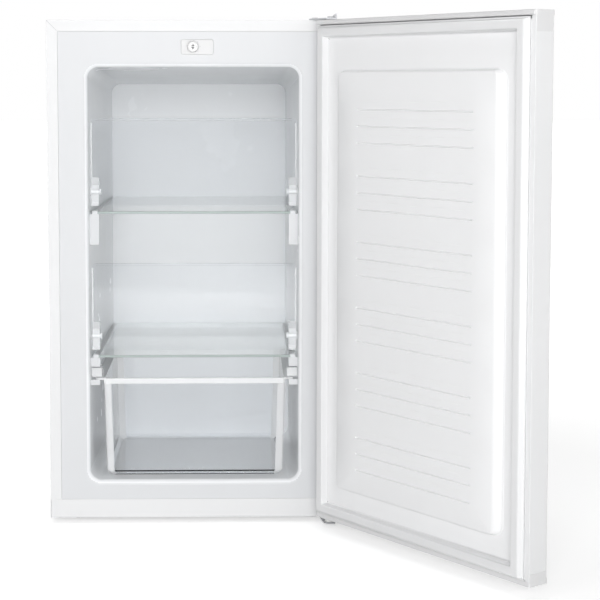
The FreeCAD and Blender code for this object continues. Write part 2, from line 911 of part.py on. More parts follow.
def back_panel():
    """Rear sheet with two stiffening beads, closed at its edges by the wrapper's rear flange."""
    piece = Piece("back_panel")
    t = D.steel
    edge = inner_half - D.seam_gap
    sheet_face = piece.sketch("XZ_Plane", back_plane)
    box(sheet_face, -edge, edge, D.bay_top, D.cab_height - t - D.seam_gap)
    piece.pad(sheet_face, t)
    bead = piece.sketch("XZ_Plane", back_plane + t)
    eased(bead, -(D.cond_half + 34), -(D.cond_half + 24), D.cond_low, D.cab_height - 90, 3)
    made = piece.pad(bead, 1.2)
    piece.mirror([made], "YZ_Plane")
    return piece.keep()


# ---------------------------------------------------------------------------------------------
# Shelves, flaps and drawer
# ---------------------------------------------------------------------------------------------
def shelf_glass(label, level):
    """Tempered pane lying on the moulded ledges."""
    piece = Piece(label)
    edge = D.mouth_half - D.glass_side_gap
    back_edge = back_half - D.seam_gap * 3
    outline = piece.sketch("XY_Plane", level)
    polygon(outline, [(-edge, D.glass_front), (edge, D.glass_front), (edge, D.glass_back / 2),
                      (back_edge, D.glass_back), (-back_edge, D.glass_back),
                      (-edge, D.glass_back / 2)])
    piece.pad(outline, D.glass)
    piece.bevel(along("Z"), 2)
    return piece.keep()


def shelf_trims(label, level):
    """Moulded corner pieces clipped over both front corners of a pane."""
    piece = Piece(label)
    w = D.trim_wall
    inner = D.mouth_half - D.glass_side_gap - D.trim_width
    outer = D.mouth_half - D.glass_side_gap + w
    gap = 0.05
    side = piece.sketch("YZ_Plane", inner)
    front, back = D.glass_front - w, D.glass_front + D.trim_wrap
    top = level + D.glass
    polygon(side, [(front, level), (D.glass_front - gap, level), (D.glass_front - gap, top + gap),
                   (back, top + gap), (back, top + w), (front + w, top + w), (front, top + w / 2)])
    made = piece.pad(side, outer - inner)
    piece.mirror([made], "YZ_Plane")
    return piece.keep()


def ear_sketch(piece, x, low):
    """Side view of the pivot ear at a flap's lower corner."""
    side = piece.sketch("YZ_Plane", x)
    front = D.flap_front
    back = front + D.ear_depth
    high = low + D.ear_height
    polygon(side, [(front, low), (back - 5, low), (back, low + 5), (back, high - 14),
                   (back - 8, high), (front, high)])
    return side


def flap(label, level, top):
    """Clear drop-down flap: panel with turned edges, ribbed ears and pivot bores."""
    piece = Piece(label)
    edge = D.mouth_half - D.flap_gap
    base = level + D.glass + D.flap_raise
    front = D.flap_front
    face = piece.sketch("XZ_Plane", front)
    eased(face, -edge, edge, base, top, 6, 2)
    piece.pad(face, D.flap_wall)
    strip = piece.sketch("YZ_Plane", edge - D.flap_rim)
    polygon(strip, [(front + 1, base + D.ear_height - 2), (front + D.flap_edge, base + D.ear_height - 2),
                    (front + D.flap_edge, top - 26), (front + D.flap_wall, top - 8),
                    (front + 1, top - 8)])
    turned = piece.pad(strip, D.flap_rim)
    ear = piece.pad(ear_sketch(piece, edge - D.ear_width, base), D.ear_width)
    lug = base + D.ear_height
    rib = piece.sketch("YZ_Plane", edge - D.ear_width - D.ear_rib)
    for step in range(3):
        low = lug - 3 - D.ear_rib_pitch * step
        box(rib, front + 1, front + D.ear_depth - 9, low, low + D.ear_rib)
    ribs = piece.pad(rib, D.ear_width + D.ear_rib)
    piece.mirror([turned, ear, ribs], "YZ_Plane")
    bead = piece.sketch("YZ_Plane", 0)
    box(bead, front + 1, front + D.flap_wall + 2.5, top - 4, top - 1)
    piece.pad(bead, (edge - 8) * 2, both=True)
    bore = piece.sketch("YZ_Plane", 0)
    circle(bore, front + D.pivot_back, level + D.glass + D.pivot_raise,
           D.pivot_radius + D.pivot_play)
    piece.pocket(bore, D.cab_width * 2, both=True)
    return piece.keep()


def flap_pivots(label, level):
    """Pivot pins from the liner's side walls: wall plate, shank and retaining head."""
    piece = Piece(label)
    y = D.flap_front + D.pivot_back
    z = level + D.glass + D.pivot_raise
    inner = D.mouth_half - D.flap_gap - D.ear_width
    head = piece.sketch("YZ_Plane", inner - D.ear_rib - 2.6)
    gon(head, y, z, D.pivot_head, 8)
    head_pad = piece.pad(head, 2.2)
    shank = piece.sketch("YZ_Plane", inner - D.ear_rib - 1)
    circle(shank, y, z, D.pivot_radius)
    wall = D.mouth_half - D.side_draft * (y + D.pivot_flange) / D.liner_depth
    shank_pad = piece.pad(shank, wall - inner + D.ear_rib + 1)
    plate = piece.sketch("YZ_Plane", wall - D.pivot_plate)
    gon(plate, y, z, D.pivot_flange, 8)
    plate_pad = piece.pad(plate, D.pivot_plate)
    piece.mirror([head_pad, shank_pad, plate_pad], "YZ_Plane")
    return piece.keep()


def bin_form(name, inset, floor):
    """Drafted block with cut corners: the drawer's outside, or its hollow one wall further in."""
    piece = Piece(name)
    half = D.bin_half - inset
    top, low = D.bin_high, D.bin_low + floor
    mouth = piece.sketch("XY_Plane", top)
    box(mouth, -half, half, D.bin_front + inset, D.hump_foot - D.bin_back_gap - inset)
    lean = arc_tangent(D.bin_draft / (D.bin_high - D.bin_low))
    piece.pad(mouth, top - low, forward=False, taper=-lean)
    piece.bevel(lambda edge: span(edge, "X") > 1 and span(edge, "Y") > 1
                and span(edge, "Z") > 100, D.bin_corner - inset / 2)
    piece.bevel(at_level("Z", low), D.bin_foot)
    return piece


def drawer_bin():
    """Clear drawer: drafted bin, a thicker brow in front, side rims that run on the rails."""
    piece = bin_form("drawer_block", size(0), size(0))
    f, b = D.bin_front, D.hump_foot - D.bin_back_gap
    top = D.bin_high
    rim = piece.sketch("XY_Plane", top - D.bin_rim)
    reach = D.bin_half + D.bin_rim_reach
    eased(rim, -reach, reach, f + 2, b - 2, 5)
    piece.pad(rim, D.bin_rim)
    brow = piece.sketch("XY_Plane", top - 9)
    eased(brow, -(D.bin_half - 1), D.bin_half - 1, f - 3, f + 12, 3)
    piece.pad(brow, 9)
    return keep(cut("drawer_shell", piece, bin_form("drawer_hollow", D.bin_wall, D.bin_wall)),
                "drawer_bin")


def drawer_guides():
    """Clear blocks on the liner's sides that keep the drawer's rims down on their rails."""
    piece = Piece("drawer_guides")
    low = D.bin_high + D.run_gap
    f = D.bin_front + 6
    back = f + D.guide_length
    wall = D.mouth_half - D.side_draft * back / D.liner_depth
    side = piece.sketch("YZ_Plane", D.bin_half + 3)
    polygon(side, [(f, low + 2), (f + 2, low), (back, low), (back, low + D.guide_height / 2),
                   (back - 8, low + D.guide_height), (f, low + D.guide_height)])
    made = piece.pad(side, wall - D.bin_half - 3)
    piece.mirror([made], "YZ_Plane")
    return piece.keep()


# ---------------------------------------------------------------------------------------------
# Thermostat
# ---------------------------------------------------------------------------------------------
def thermostat_bezel():
    """Thin plate over the thermostat with the dial's well."""
    piece = Piece("thermostat_bezel")
    t = D.bezel_thick
    face = piece.sketch("XZ_Plane", 0)
    eased(face, -D.bezel_left, D.bezel_right, D.dial_height - D.bezel_below,
          D.dial_height + D.bezel_above, D.bezel_round, 2)
    piece.pad(face, t, forward=False)
    piece.bevel(at_level("Y", -t), 1)
    well = piece.sketch("XZ_Plane", -t)
    circle(well, 0, D.dial_height, D.dial_radius + D.dial_gap)
    piece.pocket(well, t - 0.8)
    hole = piece.sketch("XZ_Plane", -t)
    circle(hole, 0, D.dial_height, D.spindle_radius + 0.5)
    piece.pocket(hole, t * 2)
    return piece.keep()


def thermostat_knob():
    """Turning dial with a screwdriver slot and a hub on the spindle."""
    piece = Piece("thermostat_knob")
    front = D.bezel_thick + 2.2
    disc = piece.sketch("XZ_Plane", -front)
    circle(disc, 0, 0, D.dial_radius)
    piece.pad(disc, D.dial_depth - 0.6)
    slot = piece.sketch("XZ_Plane", -front)
    box(slot, -(D.dial_radius * 0.62), D.dial_radius * 0.62, -1, 1)
    piece.pocket(slot, 1.6)
    piece.at(0, 0, D.dial_height)
    return piece.keep()


def thermostat_body():
    """Switch case behind the liner with its spindle and bulb stub."""
    piece = Piece("thermostat_body")
    t = D.liner_wall
    case = piece.sketch("XZ_Plane", t)
    box(case, -(D.stat_width / 2), D.stat_width / 2, -(D.stat_height / 2), D.stat_height / 2)
    piece.pad(case, D.stat_depth)
    spindle = piece.sketch("XZ_Plane", t)
    circle(spindle, 0, 0, D.spindle_radius)
    piece.pad(spindle, t + 1, forward=False)
    piece.at(0, 0, D.dial_height)
    return piece.keep()


# ---------------------------------------------------------------------------------------------
# Door, drawn closed about its hinge axis
# ---------------------------------------------------------------------------------------------
hinge_x = half - D.hinge_side
hinge_y = -(D.door_gap + D.hinge_inset)
door_near = D.hinge_side
door_far = D.hinge_side - D.cab_width
door_mid = D.hinge_side - half
door_in = D.hinge_inset
door_out = D.hinge_inset - D.door_thick
D.door_high = D.cab_height - D.door_top_drop
D.plateau_half = half - D.plateau_edge
D.plateau_low = D.door_low + D.plateau_foot
D.plateau_high = D.door_high - D.plateau_head
D.groove_length = (D.plateau_half - D.groove_side) * 2
D.groove_top = D.plateau_high - D.groove_head
groove_run = D.groove_pitch * (D.groove_count - 1)
groove_span = D.groove_top - D.plateau_low - D.groove_foot - groove_run
D.plate_left = hinge_x - D.plate_in
D.plate_right = hinge_x + D.plate_out
D.low_plate_left = hinge_x - D.low_plate_in
skin_low = D.door_low + D.cap_lip
skin_high = D.door_high - D.cap_lip


def swing(thing):
    """Carry a piece of the door from its closed frame to the rest angle."""
    thing = getattr(thing, "body", thing)
    turn = FreeCAD.Rotation(V(0, 0, 1), D.rest_angle.value)
    thing.Placement = FreeCAD.Placement(V(hinge_x.value, hinge_y.value, 0), turn)
    thing.setExpression("Placement.Base.x", hinge_x.text)
    thing.setExpression("Placement.Base.y", hinge_y.text)
    thing.setExpression("Placement.Rotation.Angle", D.rest_angle.text)
    return thing


def door_frame(inset):
    """Limits of a rectangle set in from the door's edges: low x, high x, low z, high z."""
    return (door_far + inset, door_near - inset, D.door_low + inset, D.door_high - inset)


def door_skin():
    """Folded steel tray: outer face, side returns and the lips that hold the liner."""
    piece = Piece("door_skin")
    t = D.steel
    far, near, out, face = door_far, door_near, door_out, door_in
    profile = piece.sketch("XY_Plane", skin_low)
    lip = D.door_lip
    polygon(profile, [(far, out), (near, out), (near, face), (near - lip, face),
                      (near - lip, face - t), (near - t, face - t), (near - t, out + t),
                      (far + t, out + t), (far + t, face - t), (far + lip, face - t),
                      (far + lip, face), (far, face)])
    piece.pad(profile, skin_high - skin_low)
    piece.round(along("Z", {"X": [far + t, near - t], "Y": [out + t]}), D.skin_round - t)
    piece.round(along("Z", {"X": [far, near], "Y": [out]}), D.skin_round)
    piece.round(along("Z", {"X": [far, near], "Y": [face]}), t * 0.8)
    return keep(swing(piece), "door_skin")


def plateau(name, grow, drop):
    """Raised centre of the door liner as a body of its own, between sloping planes.

    `grow` shrinks its plan and `drop` lowers it.
    """
    piece = Piece(name)
    base = door_in - drop
    crown = base + D.plateau_rise
    w, side, end = D.plateau_half - grow, D.plateau_side, D.plateau_end
    low, high = D.plateau_low + grow, D.plateau_high - grow
    profile = piece.sketch("YZ_Plane", door_mid)
    polygon(profile, [(base, low), (crown, low + end), (crown, high - end), (base, high)])
    piece.pad(profile, w * 2, both=True)
    for sign in (-1, 1):
        slope = piece.sketch("XY_Plane", 0)
        edge = door_mid + w * sign
        polygon(slope, [(edge, base), (edge, crown + 1), (edge - side * sign, crown + 1),
                        (edge - side * sign, crown)])
        piece.pocket(slope, forward=True)
    corners = [(door_mid.value + (w - side / 2).value * sign) for sign in (-1, 1)]
    piece.round(lambda edge: span(edge, "X") > 1 and span(edge, "Y") > 1 and span(edge, "Z") > 1
                and any(abs(edge.BoundBox.Center.x - x) < 1 for x in corners), D.plateau_corner)
    return piece


def joined(label, base, tool):
    """Base and tool as one Part::Fuse."""
    item = doc.addObject("Part::Fuse", label)
    item.Base = getattr(base, "body", base)
    item.Tool = getattr(tool, "body", tool)
    return item


def door_liner():
    """Formed inner panel: flange, seal channel, raised plateau and its groups of grooves."""
    piece = Piece("door_liner_pan")
    t = D.door_liner_wall
    back = door_in - D.steel
    plate = piece.sketch("XZ_Plane", back - t)
    edge = D.steel + D.seam_gap
    box(plate, door_far + edge, door_near - edge, skin_low + 1, skin_high - 1)
    piece.pad(plate, t)
    land = piece.sketch("XZ_Plane", back)
    inset = D.door_lip + D.seam_gap
    box(land, door_far + inset, door_near - inset, skin_low + 1, skin_high - 1)
    piece.pad(land, D.steel)
    channel = piece.sketch("XZ_Plane", back - t)
    ring(channel, door_frame(D.dart_place - 2), door_frame(D.dart_place + D.dart_width + 2))
    piece.pad(channel, D.dart_depth, forward=False)
    slot = piece.sketch("XZ_Plane", door_in)
    ring(slot, door_frame(D.dart_place), door_frame(D.dart_place + D.dart_width))
    piece.pocket(slot, D.dart_depth + D.steel, forward=False)
    raised = joined("door_liner_raised", piece, plateau("liner_crown", size(0), size(0)))
    hollow = cut("door_liner_formed", raised, plateau("liner_hollow", t * 0.6, t + D.steel))
    grooves = Piece("liner_grooves")
    crown = door_in + D.plateau_rise
    groove = grooves.sketch("YZ_Plane", door_mid)
    width, deep = D.groove_width / 2, D.groove_depth
    top = D.groove_top
    polygon(groove, [(crown + 1, top - width * 1.4), (crown + 1, top + width * 1.4),
                     (crown, top + width), (crown - deep, top + width / 2),
                     (crown - deep, top - width / 2), (crown, top - width)])
    made = grooves.pad(groove, D.groove_length, both=True)
    inner = ("Z_Axis", groove_run, D.groove_count, True)
    outer = ("Z_Axis", groove_span, D.group_count, True)
    grooves.spread([made], [inner, outer])
    return keep(swing(cut("door_liner", hollow, grooves)), "door_liner")


def door_foam():
    """Insulation filling the door between skin, caps and liner."""
    piece = Piece("door_foam_block")
    steel = D.steel
    t = D.door_liner_wall
    block = piece.sketch("XZ_Plane", door_out + steel)
    low, high = skin_low + D.cap_plug, skin_high - D.cap_plug
    box(block, door_far + steel, door_near - steel, low, high)
    piece.pad(block, D.door_thick - steel * 2 - t)
    corners = along("Z", {"X": [door_far + steel, door_near - steel], "Y": [door_out + steel]})
    piece.bevel(corners, D.skin_round - steel)
    channel = piece.sketch("XZ_Plane", door_in - steel - t)
    ring(channel, door_frame(D.dart_place - 2.2), door_frame(D.dart_place + D.dart_width + 2.2))
    piece.pocket(channel, D.dart_depth + 0.2, forward=False)
    heart = joined("door_foam", piece, plateau("foam_crown", t * 0.6, t + steel))
    return keep(swing(heart), "door_foam")


def door_cap(label, top):
    """Moulded end cap: lip over the skin's end, plug inside it and two proud end pads."""
    piece = Piece(label)
    proud = D.cap_proud
    out, face = door_out, door_in
    steel = D.steel
    play = D.seam_gap
    edge = D.door_high if top else D.door_low
    lip = D.cap_lip
    up = not top
    slab = piece.sketch("XY_Plane", edge)
    eased(slab, door_far - proud, door_near, out, face, D.skin_round, 2)
    piece.pad(slab, lip, forward=up)
    joint = skin_high if top else skin_low
    plug = piece.sketch("XY_Plane", joint)
    eased(plug, door_far + steel + play, door_near - steel - play, out + steel + play,
          face - steel - D.door_liner_wall - D.dart_depth - play, D.skin_round)
    piece.pad(plug, D.cap_plug, forward=up)
    pad_height = (D.cap_end_high if top else D.cap_end_low) - lip
    ends = piece.sketch("XY_Plane", joint)
    box(ends, door_far - proud, door_far, out + 3, face - 1)
    piece.pad(ends, pad_height, forward=up)
    bore = piece.sketch("XY_Plane", edge)
    gon(bore, 0, 0, D.bush_radius + 0.05, 8)
    piece.pocket(bore, D.bush_depth, forward=up)
    if top:
        grip = piece.sketch("XY_Plane", edge)
        eased(grip, door_mid - D.grip_length / 2, door_mid + D.grip_length / 2,
              out + 5, out + 5 + D.grip_width, 8, 3)
        piece.pocket(grip, D.grip_depth, forward=False)
        front = piece.sketch("XZ_Plane", out)
        eased(front, door_mid - D.grip_length / 2 + 6, door_mid + D.grip_length / 2 - 6,
              edge - lip + 1.6, edge + 12, 5, 2)
        piece.pocket(front, 8)
    return keep(swing(piece), label)


def door_gasket():
    """Magnetic seal: foot, dart pressed into the liner's channel and the hollow bulb."""
    skin = Piece("gasket_skin")
    level = door_in
    face = skin.sketch("XZ_Plane", level)
    ring(face, door_frame(D.seal_outer), door_frame(D.seal_inner))
    skin.pad(face, D.seal_foot)
    bulb = skin.sketch("XZ_Plane", level + D.seal_foot)
    ring(bulb, door_frame(D.bulb_outer), door_frame(D.bulb_inner))
    skin.pad(bulb, D.seal_height - D.seal_foot)
    crest = level + D.seal_height
    skin.bevel(at_level("Y", crest), 1.5)
    dart = skin.sketch("XZ_Plane", level)
    ring(dart, door_frame(D.dart_place + D.dart_play),
         door_frame(D.dart_place + D.dart_width - D.dart_play))
    skin.pad(dart, D.dart_depth + D.steel - D.dart_play, forward=False)
    hollow = Piece("gasket_hollow")
    gap = D.seal_skin
    void = hollow.sketch("XZ_Plane", level + D.seal_foot)
    ring(void, door_frame(D.bulb_outer + gap + 0.8), door_frame(D.bulb_inner - gap - 0.8))
    hollow.pad(void, D.seal_height - D.seal_foot - gap)
    return keep(swing(cut("door_gasket", skin, hollow)), "door_gasket")


def gasket_magnets():
    """Four flexible magnet strips lying in the seal's hollow."""
    piece = Piece("gasket_magnets")
    gap = D.seal_skin + 0.8
    outer = D.bulb_outer + gap
    inner = D.bulb_inner - gap
    level = door_in + D.seal_height - D.seal_skin - 3
    far, near, low, high = door_frame(outer)
    far2, near2, low2, high2 = door_frame(inner)
    bars = piece.sketch("XZ_Plane", level)
    box(bars, far, far2, low2 + 2, high2 - 2)
    box(bars, near2, near, low2 + 2, high2 - 2)
    box(bars, far2 + 2, near2 - 2, low, low2)
    box(bars, far2 + 2, near2 - 2, high2, high)
    piece.pad(bars, 3)
    return keep(swing(piece), "gasket_magnets")


def hinge_bush(label, top):
    """Plastic sleeve pressed into an end cap, with flats against turning and a proud rim."""
    piece = Piece(label)
    edge = D.door_high if top else D.door_low
    head = edge + D.bush_head * (1 if top else -1)
    sleeve = piece.sketch("XY_Plane", head)
    gon(sleeve, 0, 0, D.bush_radius, 8)
    circle(sleeve, 0, 0, D.pin_radius + D.pin_play)
    piece.pad(sleeve, D.bush_depth + D.bush_head, forward=not top)
    return keep(swing(piece), label)


# ---------------------------------------------------------------------------------------------
# Hinge plates and pins on the cabinet
# ---------------------------------------------------------------------------------------------
def top_hinge():
    """Stamped plate on the cabinet's top with a raised rim and the upper pin."""
    piece = Piece("top_hinge_bracket")
    low = D.cab_height
    t = D.plate_thick
    left, right = D.plate_left, D.plate_right
    plate = piece.sketch("XY_Plane", low)
    nose = hinge_y - 9
    polygon(plate, [(left, D.plate_back), (left, 4), (hinge_x - 11, nose + 6), (hinge_x - 8, nose),
                    (right, nose), (right, D.plate_back)])
    piece.pad(plate, t)
    piece.round(along("Z", {"Y": [D.plate_back]}), 5)
    rim = piece.sketch("XY_Plane", low)
    polygon(rim, [(right - t, nose + 2), (right, nose + 2), (right, D.plate_back - 6),
                  (right - t, D.plate_back - 6)])
    piece.pad(rim, D.plate_rim + t)
    pin = piece.sketch("XY_Plane", low + t + 2)
    circle(pin, hinge_x, hinge_y, D.pin_radius)
    piece.pad(pin, t + 2 + D.cab_height - D.door_high + D.pin_reach, forward=False)
    head = piece.sketch("XY_Plane", low + t)
    gon(head, hinge_x, hinge_y, D.pin_radius + 2, 12)
    piece.pad(head, 2.4)
    holes = piece.sketch("XY_Plane", low)
    for x, y in top_screw_places():
        gon(holes, x, y, D.bolt_radius, 8)
    piece.pocket(holes, t * 2)
    return piece.keep()


def low_hinge():
    """Lower plate under the front rail with the pin that carries the door."""
    piece = Piece("bottom_hinge_bracket")
    high = D.cab_base
    t = D.plate_thick
    left, right = D.low_plate_left, D.plate_right
    plate = piece.sketch("XY_Plane", high - t)
    nose = hinge_y - 10
    polygon(plate, [(left, D.low_plate_back), (left, 2), (hinge_x - 10, nose + 8),
                    (hinge_x - 5, nose), (right, nose), (right, D.low_plate_back)])
    piece.pad(plate, t)
    pin = piece.sketch("XY_Plane", high - t)
    circle(pin, hinge_x, hinge_y, D.pin_radius)
    piece.pad(pin, D.door_low - high + t + D.pin_reach)
    holes = piece.sketch("XY_Plane", high - t)
    for x, y in low_screw_places():
        gon(holes, x, y, D.bolt_radius, 8)
    piece.pocket(holes, t * 2)
    return piece.keep()


def hinge_spacer():
    """Washer that the door's lower bush turns on."""
    piece = Piece("hinge_spacer")
    face = piece.sketch("XY_Plane", D.cab_base)
    gon(face, hinge_x, hinge_y, D.spacer_radius, 12)
    circle(face, hinge_x, hinge_y, D.pin_radius + D.pin_play)
    piece.pad(face, D.door_low - D.cab_base - D.bush_head - 0.3)
    return piece.keep()


def top_screw_places():
    return [(x, D.plate_back - 12) for x in (D.plate_left + 10, D.plate_right - 12)]


def low_screw_places():
    middle = (D.low_plate_left + D.plate_right) / 2
    return [(middle, D.low_plate_back - step) for step in (12, 40)]


def hex_screws(label, places, seat, up, grip):
    """Hexagon-head screws as a group: head on its seat, shank through the plate."""
    piece = Piece(label)
    face = piece.sketch("XY_Plane", seat)
    for x, y in places:
        gon(face, x, y, D.bolt_radius * 1.9, 6)
    piece.pad(face, 2.6, forward=up)
    shank = piece.sketch("XY_Plane", seat)
    for x, y in places:
        gon(shank, x, y, D.bolt_radius - D.bolt_play, 8)
    piece.pad(shank, grip, forward=not up)
    return piece.keep()


# ---------------------------------------------------------------------------------------------
# Feet
# ---------------------------------------------------------------------------------------------
def front_foot(label, side):
    """Levelling foot: twelve-sided grip, collar and stud."""
    piece = Piece(label)
    grip = piece.sketch("XY_Plane", 0)
    gon(grip, 0, 0, D.foot_radius, 12)
    piece.pad(grip, D.foot_pad)
    piece.bevel(at_level("Z", 0), 0.8)
    collar = piece.sketch("XY_Plane", D.foot_pad)
    gon(collar, 0, 0, D.stud_radius + 1.6, 6)
    piece.pad(collar, D.cab_base - 0.2 - D.foot_pad)
    stud = piece.sketch("XY_Plane", D.cab_base - 0.2)
    circle(stud, 0, 0, D.stud_radius)
    piece.pad(stud, D.stud_length - D.cab_base)
    piece.at(D.foot_x * side, D.foot_y, 0)
    return piece.keep()


def rear_feet():
    """Fixed glides under the compressor tray."""
    piece = Piece("rear_feet")
    r = D.rear_foot_radius
    high = D.tray_height
    made = []
    for level, radius, height, sides in ((size(0), r, high - 0.05, 16),
                                         (high - 0.05, D.stud_radius, 6, 8)):
        face = piece.sketch("XY_Plane", level)
        gon(face, D.foot_x, D.rear_foot_y, radius, sides)
        made.append(piece.pad(face, height))
    piece.mirror(made, "YZ_Plane")
    piece.bevel(at_level("Z", 0), 1.5)
    return piece.keep()


# ---------------------------------------------------------------------------------------------
# Machine bay
# ---------------------------------------------------------------------------------------------
comp_pads = [(D.mount_x / 2 * a, D.mount_y / 2 * b) for a in (-1, 1) for b in (-1, 1)]
tray_top = D.tray_height + D.tray_thick
plate_low = tray_top + D.grommet_height


def compressor_tray():
    """Folded cross member that carries the compressor and the rear feet."""
    piece = Piece("compressor_tray")
    t = D.tray_thick
    low = D.tray_height
    edge = inner_half - D.seam_gap
    profile = piece.sketch("YZ_Plane", 0)
    f, b, lip = D.tray_front, D.tray_back, D.tray_lip
    polygon(profile, [(f, low), (b, low), (b, low + lip), (b - t, low + lip), (b - t, low + t),
                      (f + t, low + t), (f + t, low + lip), (f, low + lip)])
    piece.pad(profile, edge * 2, both=True)
    ends = piece.sketch("XZ_Plane", f + t)
    box(ends, edge - t, edge, low + t, low + lip + 10)
    wall = piece.pad(ends, b - f - t * 2)
    piece.mirror([wall], "YZ_Plane")
    holes = piece.sketch("XY_Plane", low)
    for x, y in comp_pads:
        gon(holes, D.comp_x + x, D.comp_y + y, D.bolt_radius + D.bolt_play * 2, 6)
    for side in (-1, 1):
        gon(holes, D.foot_x * side, D.rear_foot_y, D.stud_radius + D.stud_play, 8)
    piece.pocket(holes, t * 2)
    vent = piece.sketch("XY_Plane", low)
    eased(vent, D.comp_x - 42, D.comp_x + 42, D.comp_y - 9, D.comp_y + 9, 7, 2)
    piece.pocket(vent, t * 2)
    return piece.keep()


def stadium(sketch, width, depth):
    """Oval plan of the pot: two straight sides closed by half rounds in equal steps."""
    r, flat = depth / 2, width / 2 - depth / 2
    points = []
    for side in (1, -1):
        for n in range(9):
            turn = math.radians(22.5 * n - 90) if side > 0 else math.radians(22.5 * n + 90)
            points.append((flat * side + r * round(math.cos(turn), 9), r * round(math.sin(turn), 9)))
    polygon(sketch, points)


def domed(piece, level, depth, ease, up=True):
    """Turns the pot's edge over in three steps: a wide slope and a smaller one on each side."""
    piece.bevel(at_level("Z", level), depth)
    for edge in (level, level - depth if up else level + depth):
        piece.bevel(at_level("Z", edge), ease)


def compressor():
    """Hermetic pot: drawn lower shell and dome, weld seam, foot plate and pipe stubs."""
    piece = Piece("compressor")
    low = D.comp_low
    seam = D.comp_seam
    w, d = D.comp_width, D.comp_depth
    pot = piece.sketch("XY_Plane", low)
    stadium(pot, w, d)
    piece.pad(pot, D.comp_height)
    domed(piece, low + D.comp_height, D.comp_dome, D.comp_dome / 3)
    domed(piece, low, D.comp_foot_round, D.comp_foot_round / 3, up=False)
    rim = piece.sketch("XY_Plane", seam - 4)
    stadium(rim, w + D.comp_rim, d + D.comp_rim)
    piece.pad(rim, 6)
    plate = piece.sketch("XY_Plane", plate_low)
    reach_x, reach_y = D.mount_x / 2 + D.mount_margin, D.mount_y / 2 + D.mount_margin
    polygon(plate, [(-reach_x, -reach_y), (-reach_x + 30, -reach_y), (-reach_x + 44, -reach_y + 22),
                    (reach_x - 44, -reach_y + 22), (reach_x - 30, -reach_y), (reach_x, -reach_y),
                    (reach_x, reach_y), (reach_x - 30, reach_y), (reach_x - 44, reach_y - 22),
                    (-reach_x + 44, reach_y - 22), (-reach_x + 30, reach_y), (-reach_x, reach_y)])
    piece.pad(plate, D.mount_plate)
    collar = piece.sketch("XY_Plane", plate_low + D.mount_plate)
    box(collar, -(w / 2 - 26), w / 2 - 26, -(d / 2 - 26), d / 2 - 26)
    piece.pad(collar, low + 3 - plate_low - D.mount_plate)
    holes = piece.sketch("XY_Plane", plate_low)
    for x, y in comp_pads:
        gon(holes, x, y, D.grommet_radius - 3, 8)
    piece.pocket(holes, D.mount_plate * 2)
    fence = piece.sketch("YZ_Plane", w / 2 - 6)
    box(fence, -20, 20, D.relay_low + 6, D.relay_low + D.relay_height - 14)
    piece.pad(fence, 9)
    piece.at(D.comp_x, D.comp_y, 0)
    return piece.keep()


def compressor_grommets():
    """Rubber mounts: bulged foot, groove for the foot plate and upper lip."""
    piece = Piece("compressor_grommets")
    bore = D.bolt_radius + D.bolt_play
    neck = D.grommet_radius - 3.3
    low = tray_top
    high = plate_low
    over = high + D.mount_plate + 0.1
    made = []
    for level, radius, height in ((low, D.grommet_radius, D.grommet_height),
                                  (high, neck, D.mount_plate + 0.1),
                                  (over, D.grommet_radius - 1.5, 3)):
        face = piece.sketch("XY_Plane", level)
        gon(face, D.mount_x / 2, D.mount_y / 2, radius, 8)
        gon(face, D.mount_x / 2, D.mount_y / 2, bore, 6)
        made.append(piece.pad(face, height))
    piece.spread(made, [("YZ_Plane",), ("XZ_Plane",)])
    piece.at(D.comp_x, D.comp_y, 0)
    return piece.keep()


def compressor_bolts():
    """Bolts through the grommets and the tray, each with its nut."""
    piece = Piece("compressor_bolts")
    seat = plate_low + D.mount_plate + 3.1
    made = []
    nut = D.bolt_flats / 1.732
    levels = ((seat, D.grommet_radius - 2.5, 1.2, 8), (seat + 1.2, nut, D.bolt_head, 6),
              (D.tray_height - 5, D.bolt_radius - D.bolt_play, seat + 1.2 - D.tray_height + 5, 6),
              (D.tray_height - 4.5, nut, 4.5, 6))
    for level, radius, height, sides in levels:
        face = piece.sketch("XY_Plane", level)
        gon(face, D.mount_x / 2, D.mount_y / 2, radius, sides)
        made.append(piece.pad(face, height))
    piece.spread(made, [("YZ_Plane",), ("XZ_Plane",)])
    piece.at(D.comp_x, D.comp_y, 0)
    return piece.keep()


def relay_box():
    """Starter and overload cover on the pot's side, with the bare cord gland at its rear."""
    piece = Piece("relay_box")
    w, d, h = D.relay_width, D.relay_depth, D.relay_height
    case = piece.sketch("XZ_Plane", -(d / 2))
    box(case, 0, w, 0, h)
    piece.pad(case, d)
    piece.bevel(along("Y", {"X": [w]}), 5)
    piece.bevel(along("Z", {"X": [w]}), 3)
    gland = piece.sketch("XZ_Plane", d / 2)
    circle(gland, w / 2, D.gland_high, D.gland_radius)
    piece.pad(gland, D.gland_reach)
    bore = piece.sketch("XZ_Plane", d / 2 + D.gland_reach)
    circle(bore, w / 2, D.gland_high, D.cord_bore)
    piece.pocket(bore, D.gland_reach + 13, forward=False)
    for level in (0.25, 0.75):
        rib = piece.sketch("XZ_Plane", -(d / 2) - 1.5)
        box(rib, 4, w - 8, h * level - 1, h * level + 1)
        piece.pad(rib, 3)
    piece.at(D.comp_x + D.comp_width / 2 + 3.2, D.comp_y, D.relay_low)
    return piece.keep()


# ---------------------------------------------------------------------------------------------
# Pipes: straight runs whose bends are cut into short mitred steps, with a round section
# ---------------------------------------------------------------------------------------------
def route(points, bend):
    """Polyline through the points, each inner corner cut back by the amount its bend needs."""
    line = [points[0]]
    for before, corner, after in zip(points, points[1:], points[2:]):
        into = (corner - before).normalize()
        out = (after - corner).normalize()
        back = bend * math.tan(into.getAngle(out) / 4) * 2
        line += [corner - into * back, corner + out * back]
    return line + [points[-1]]


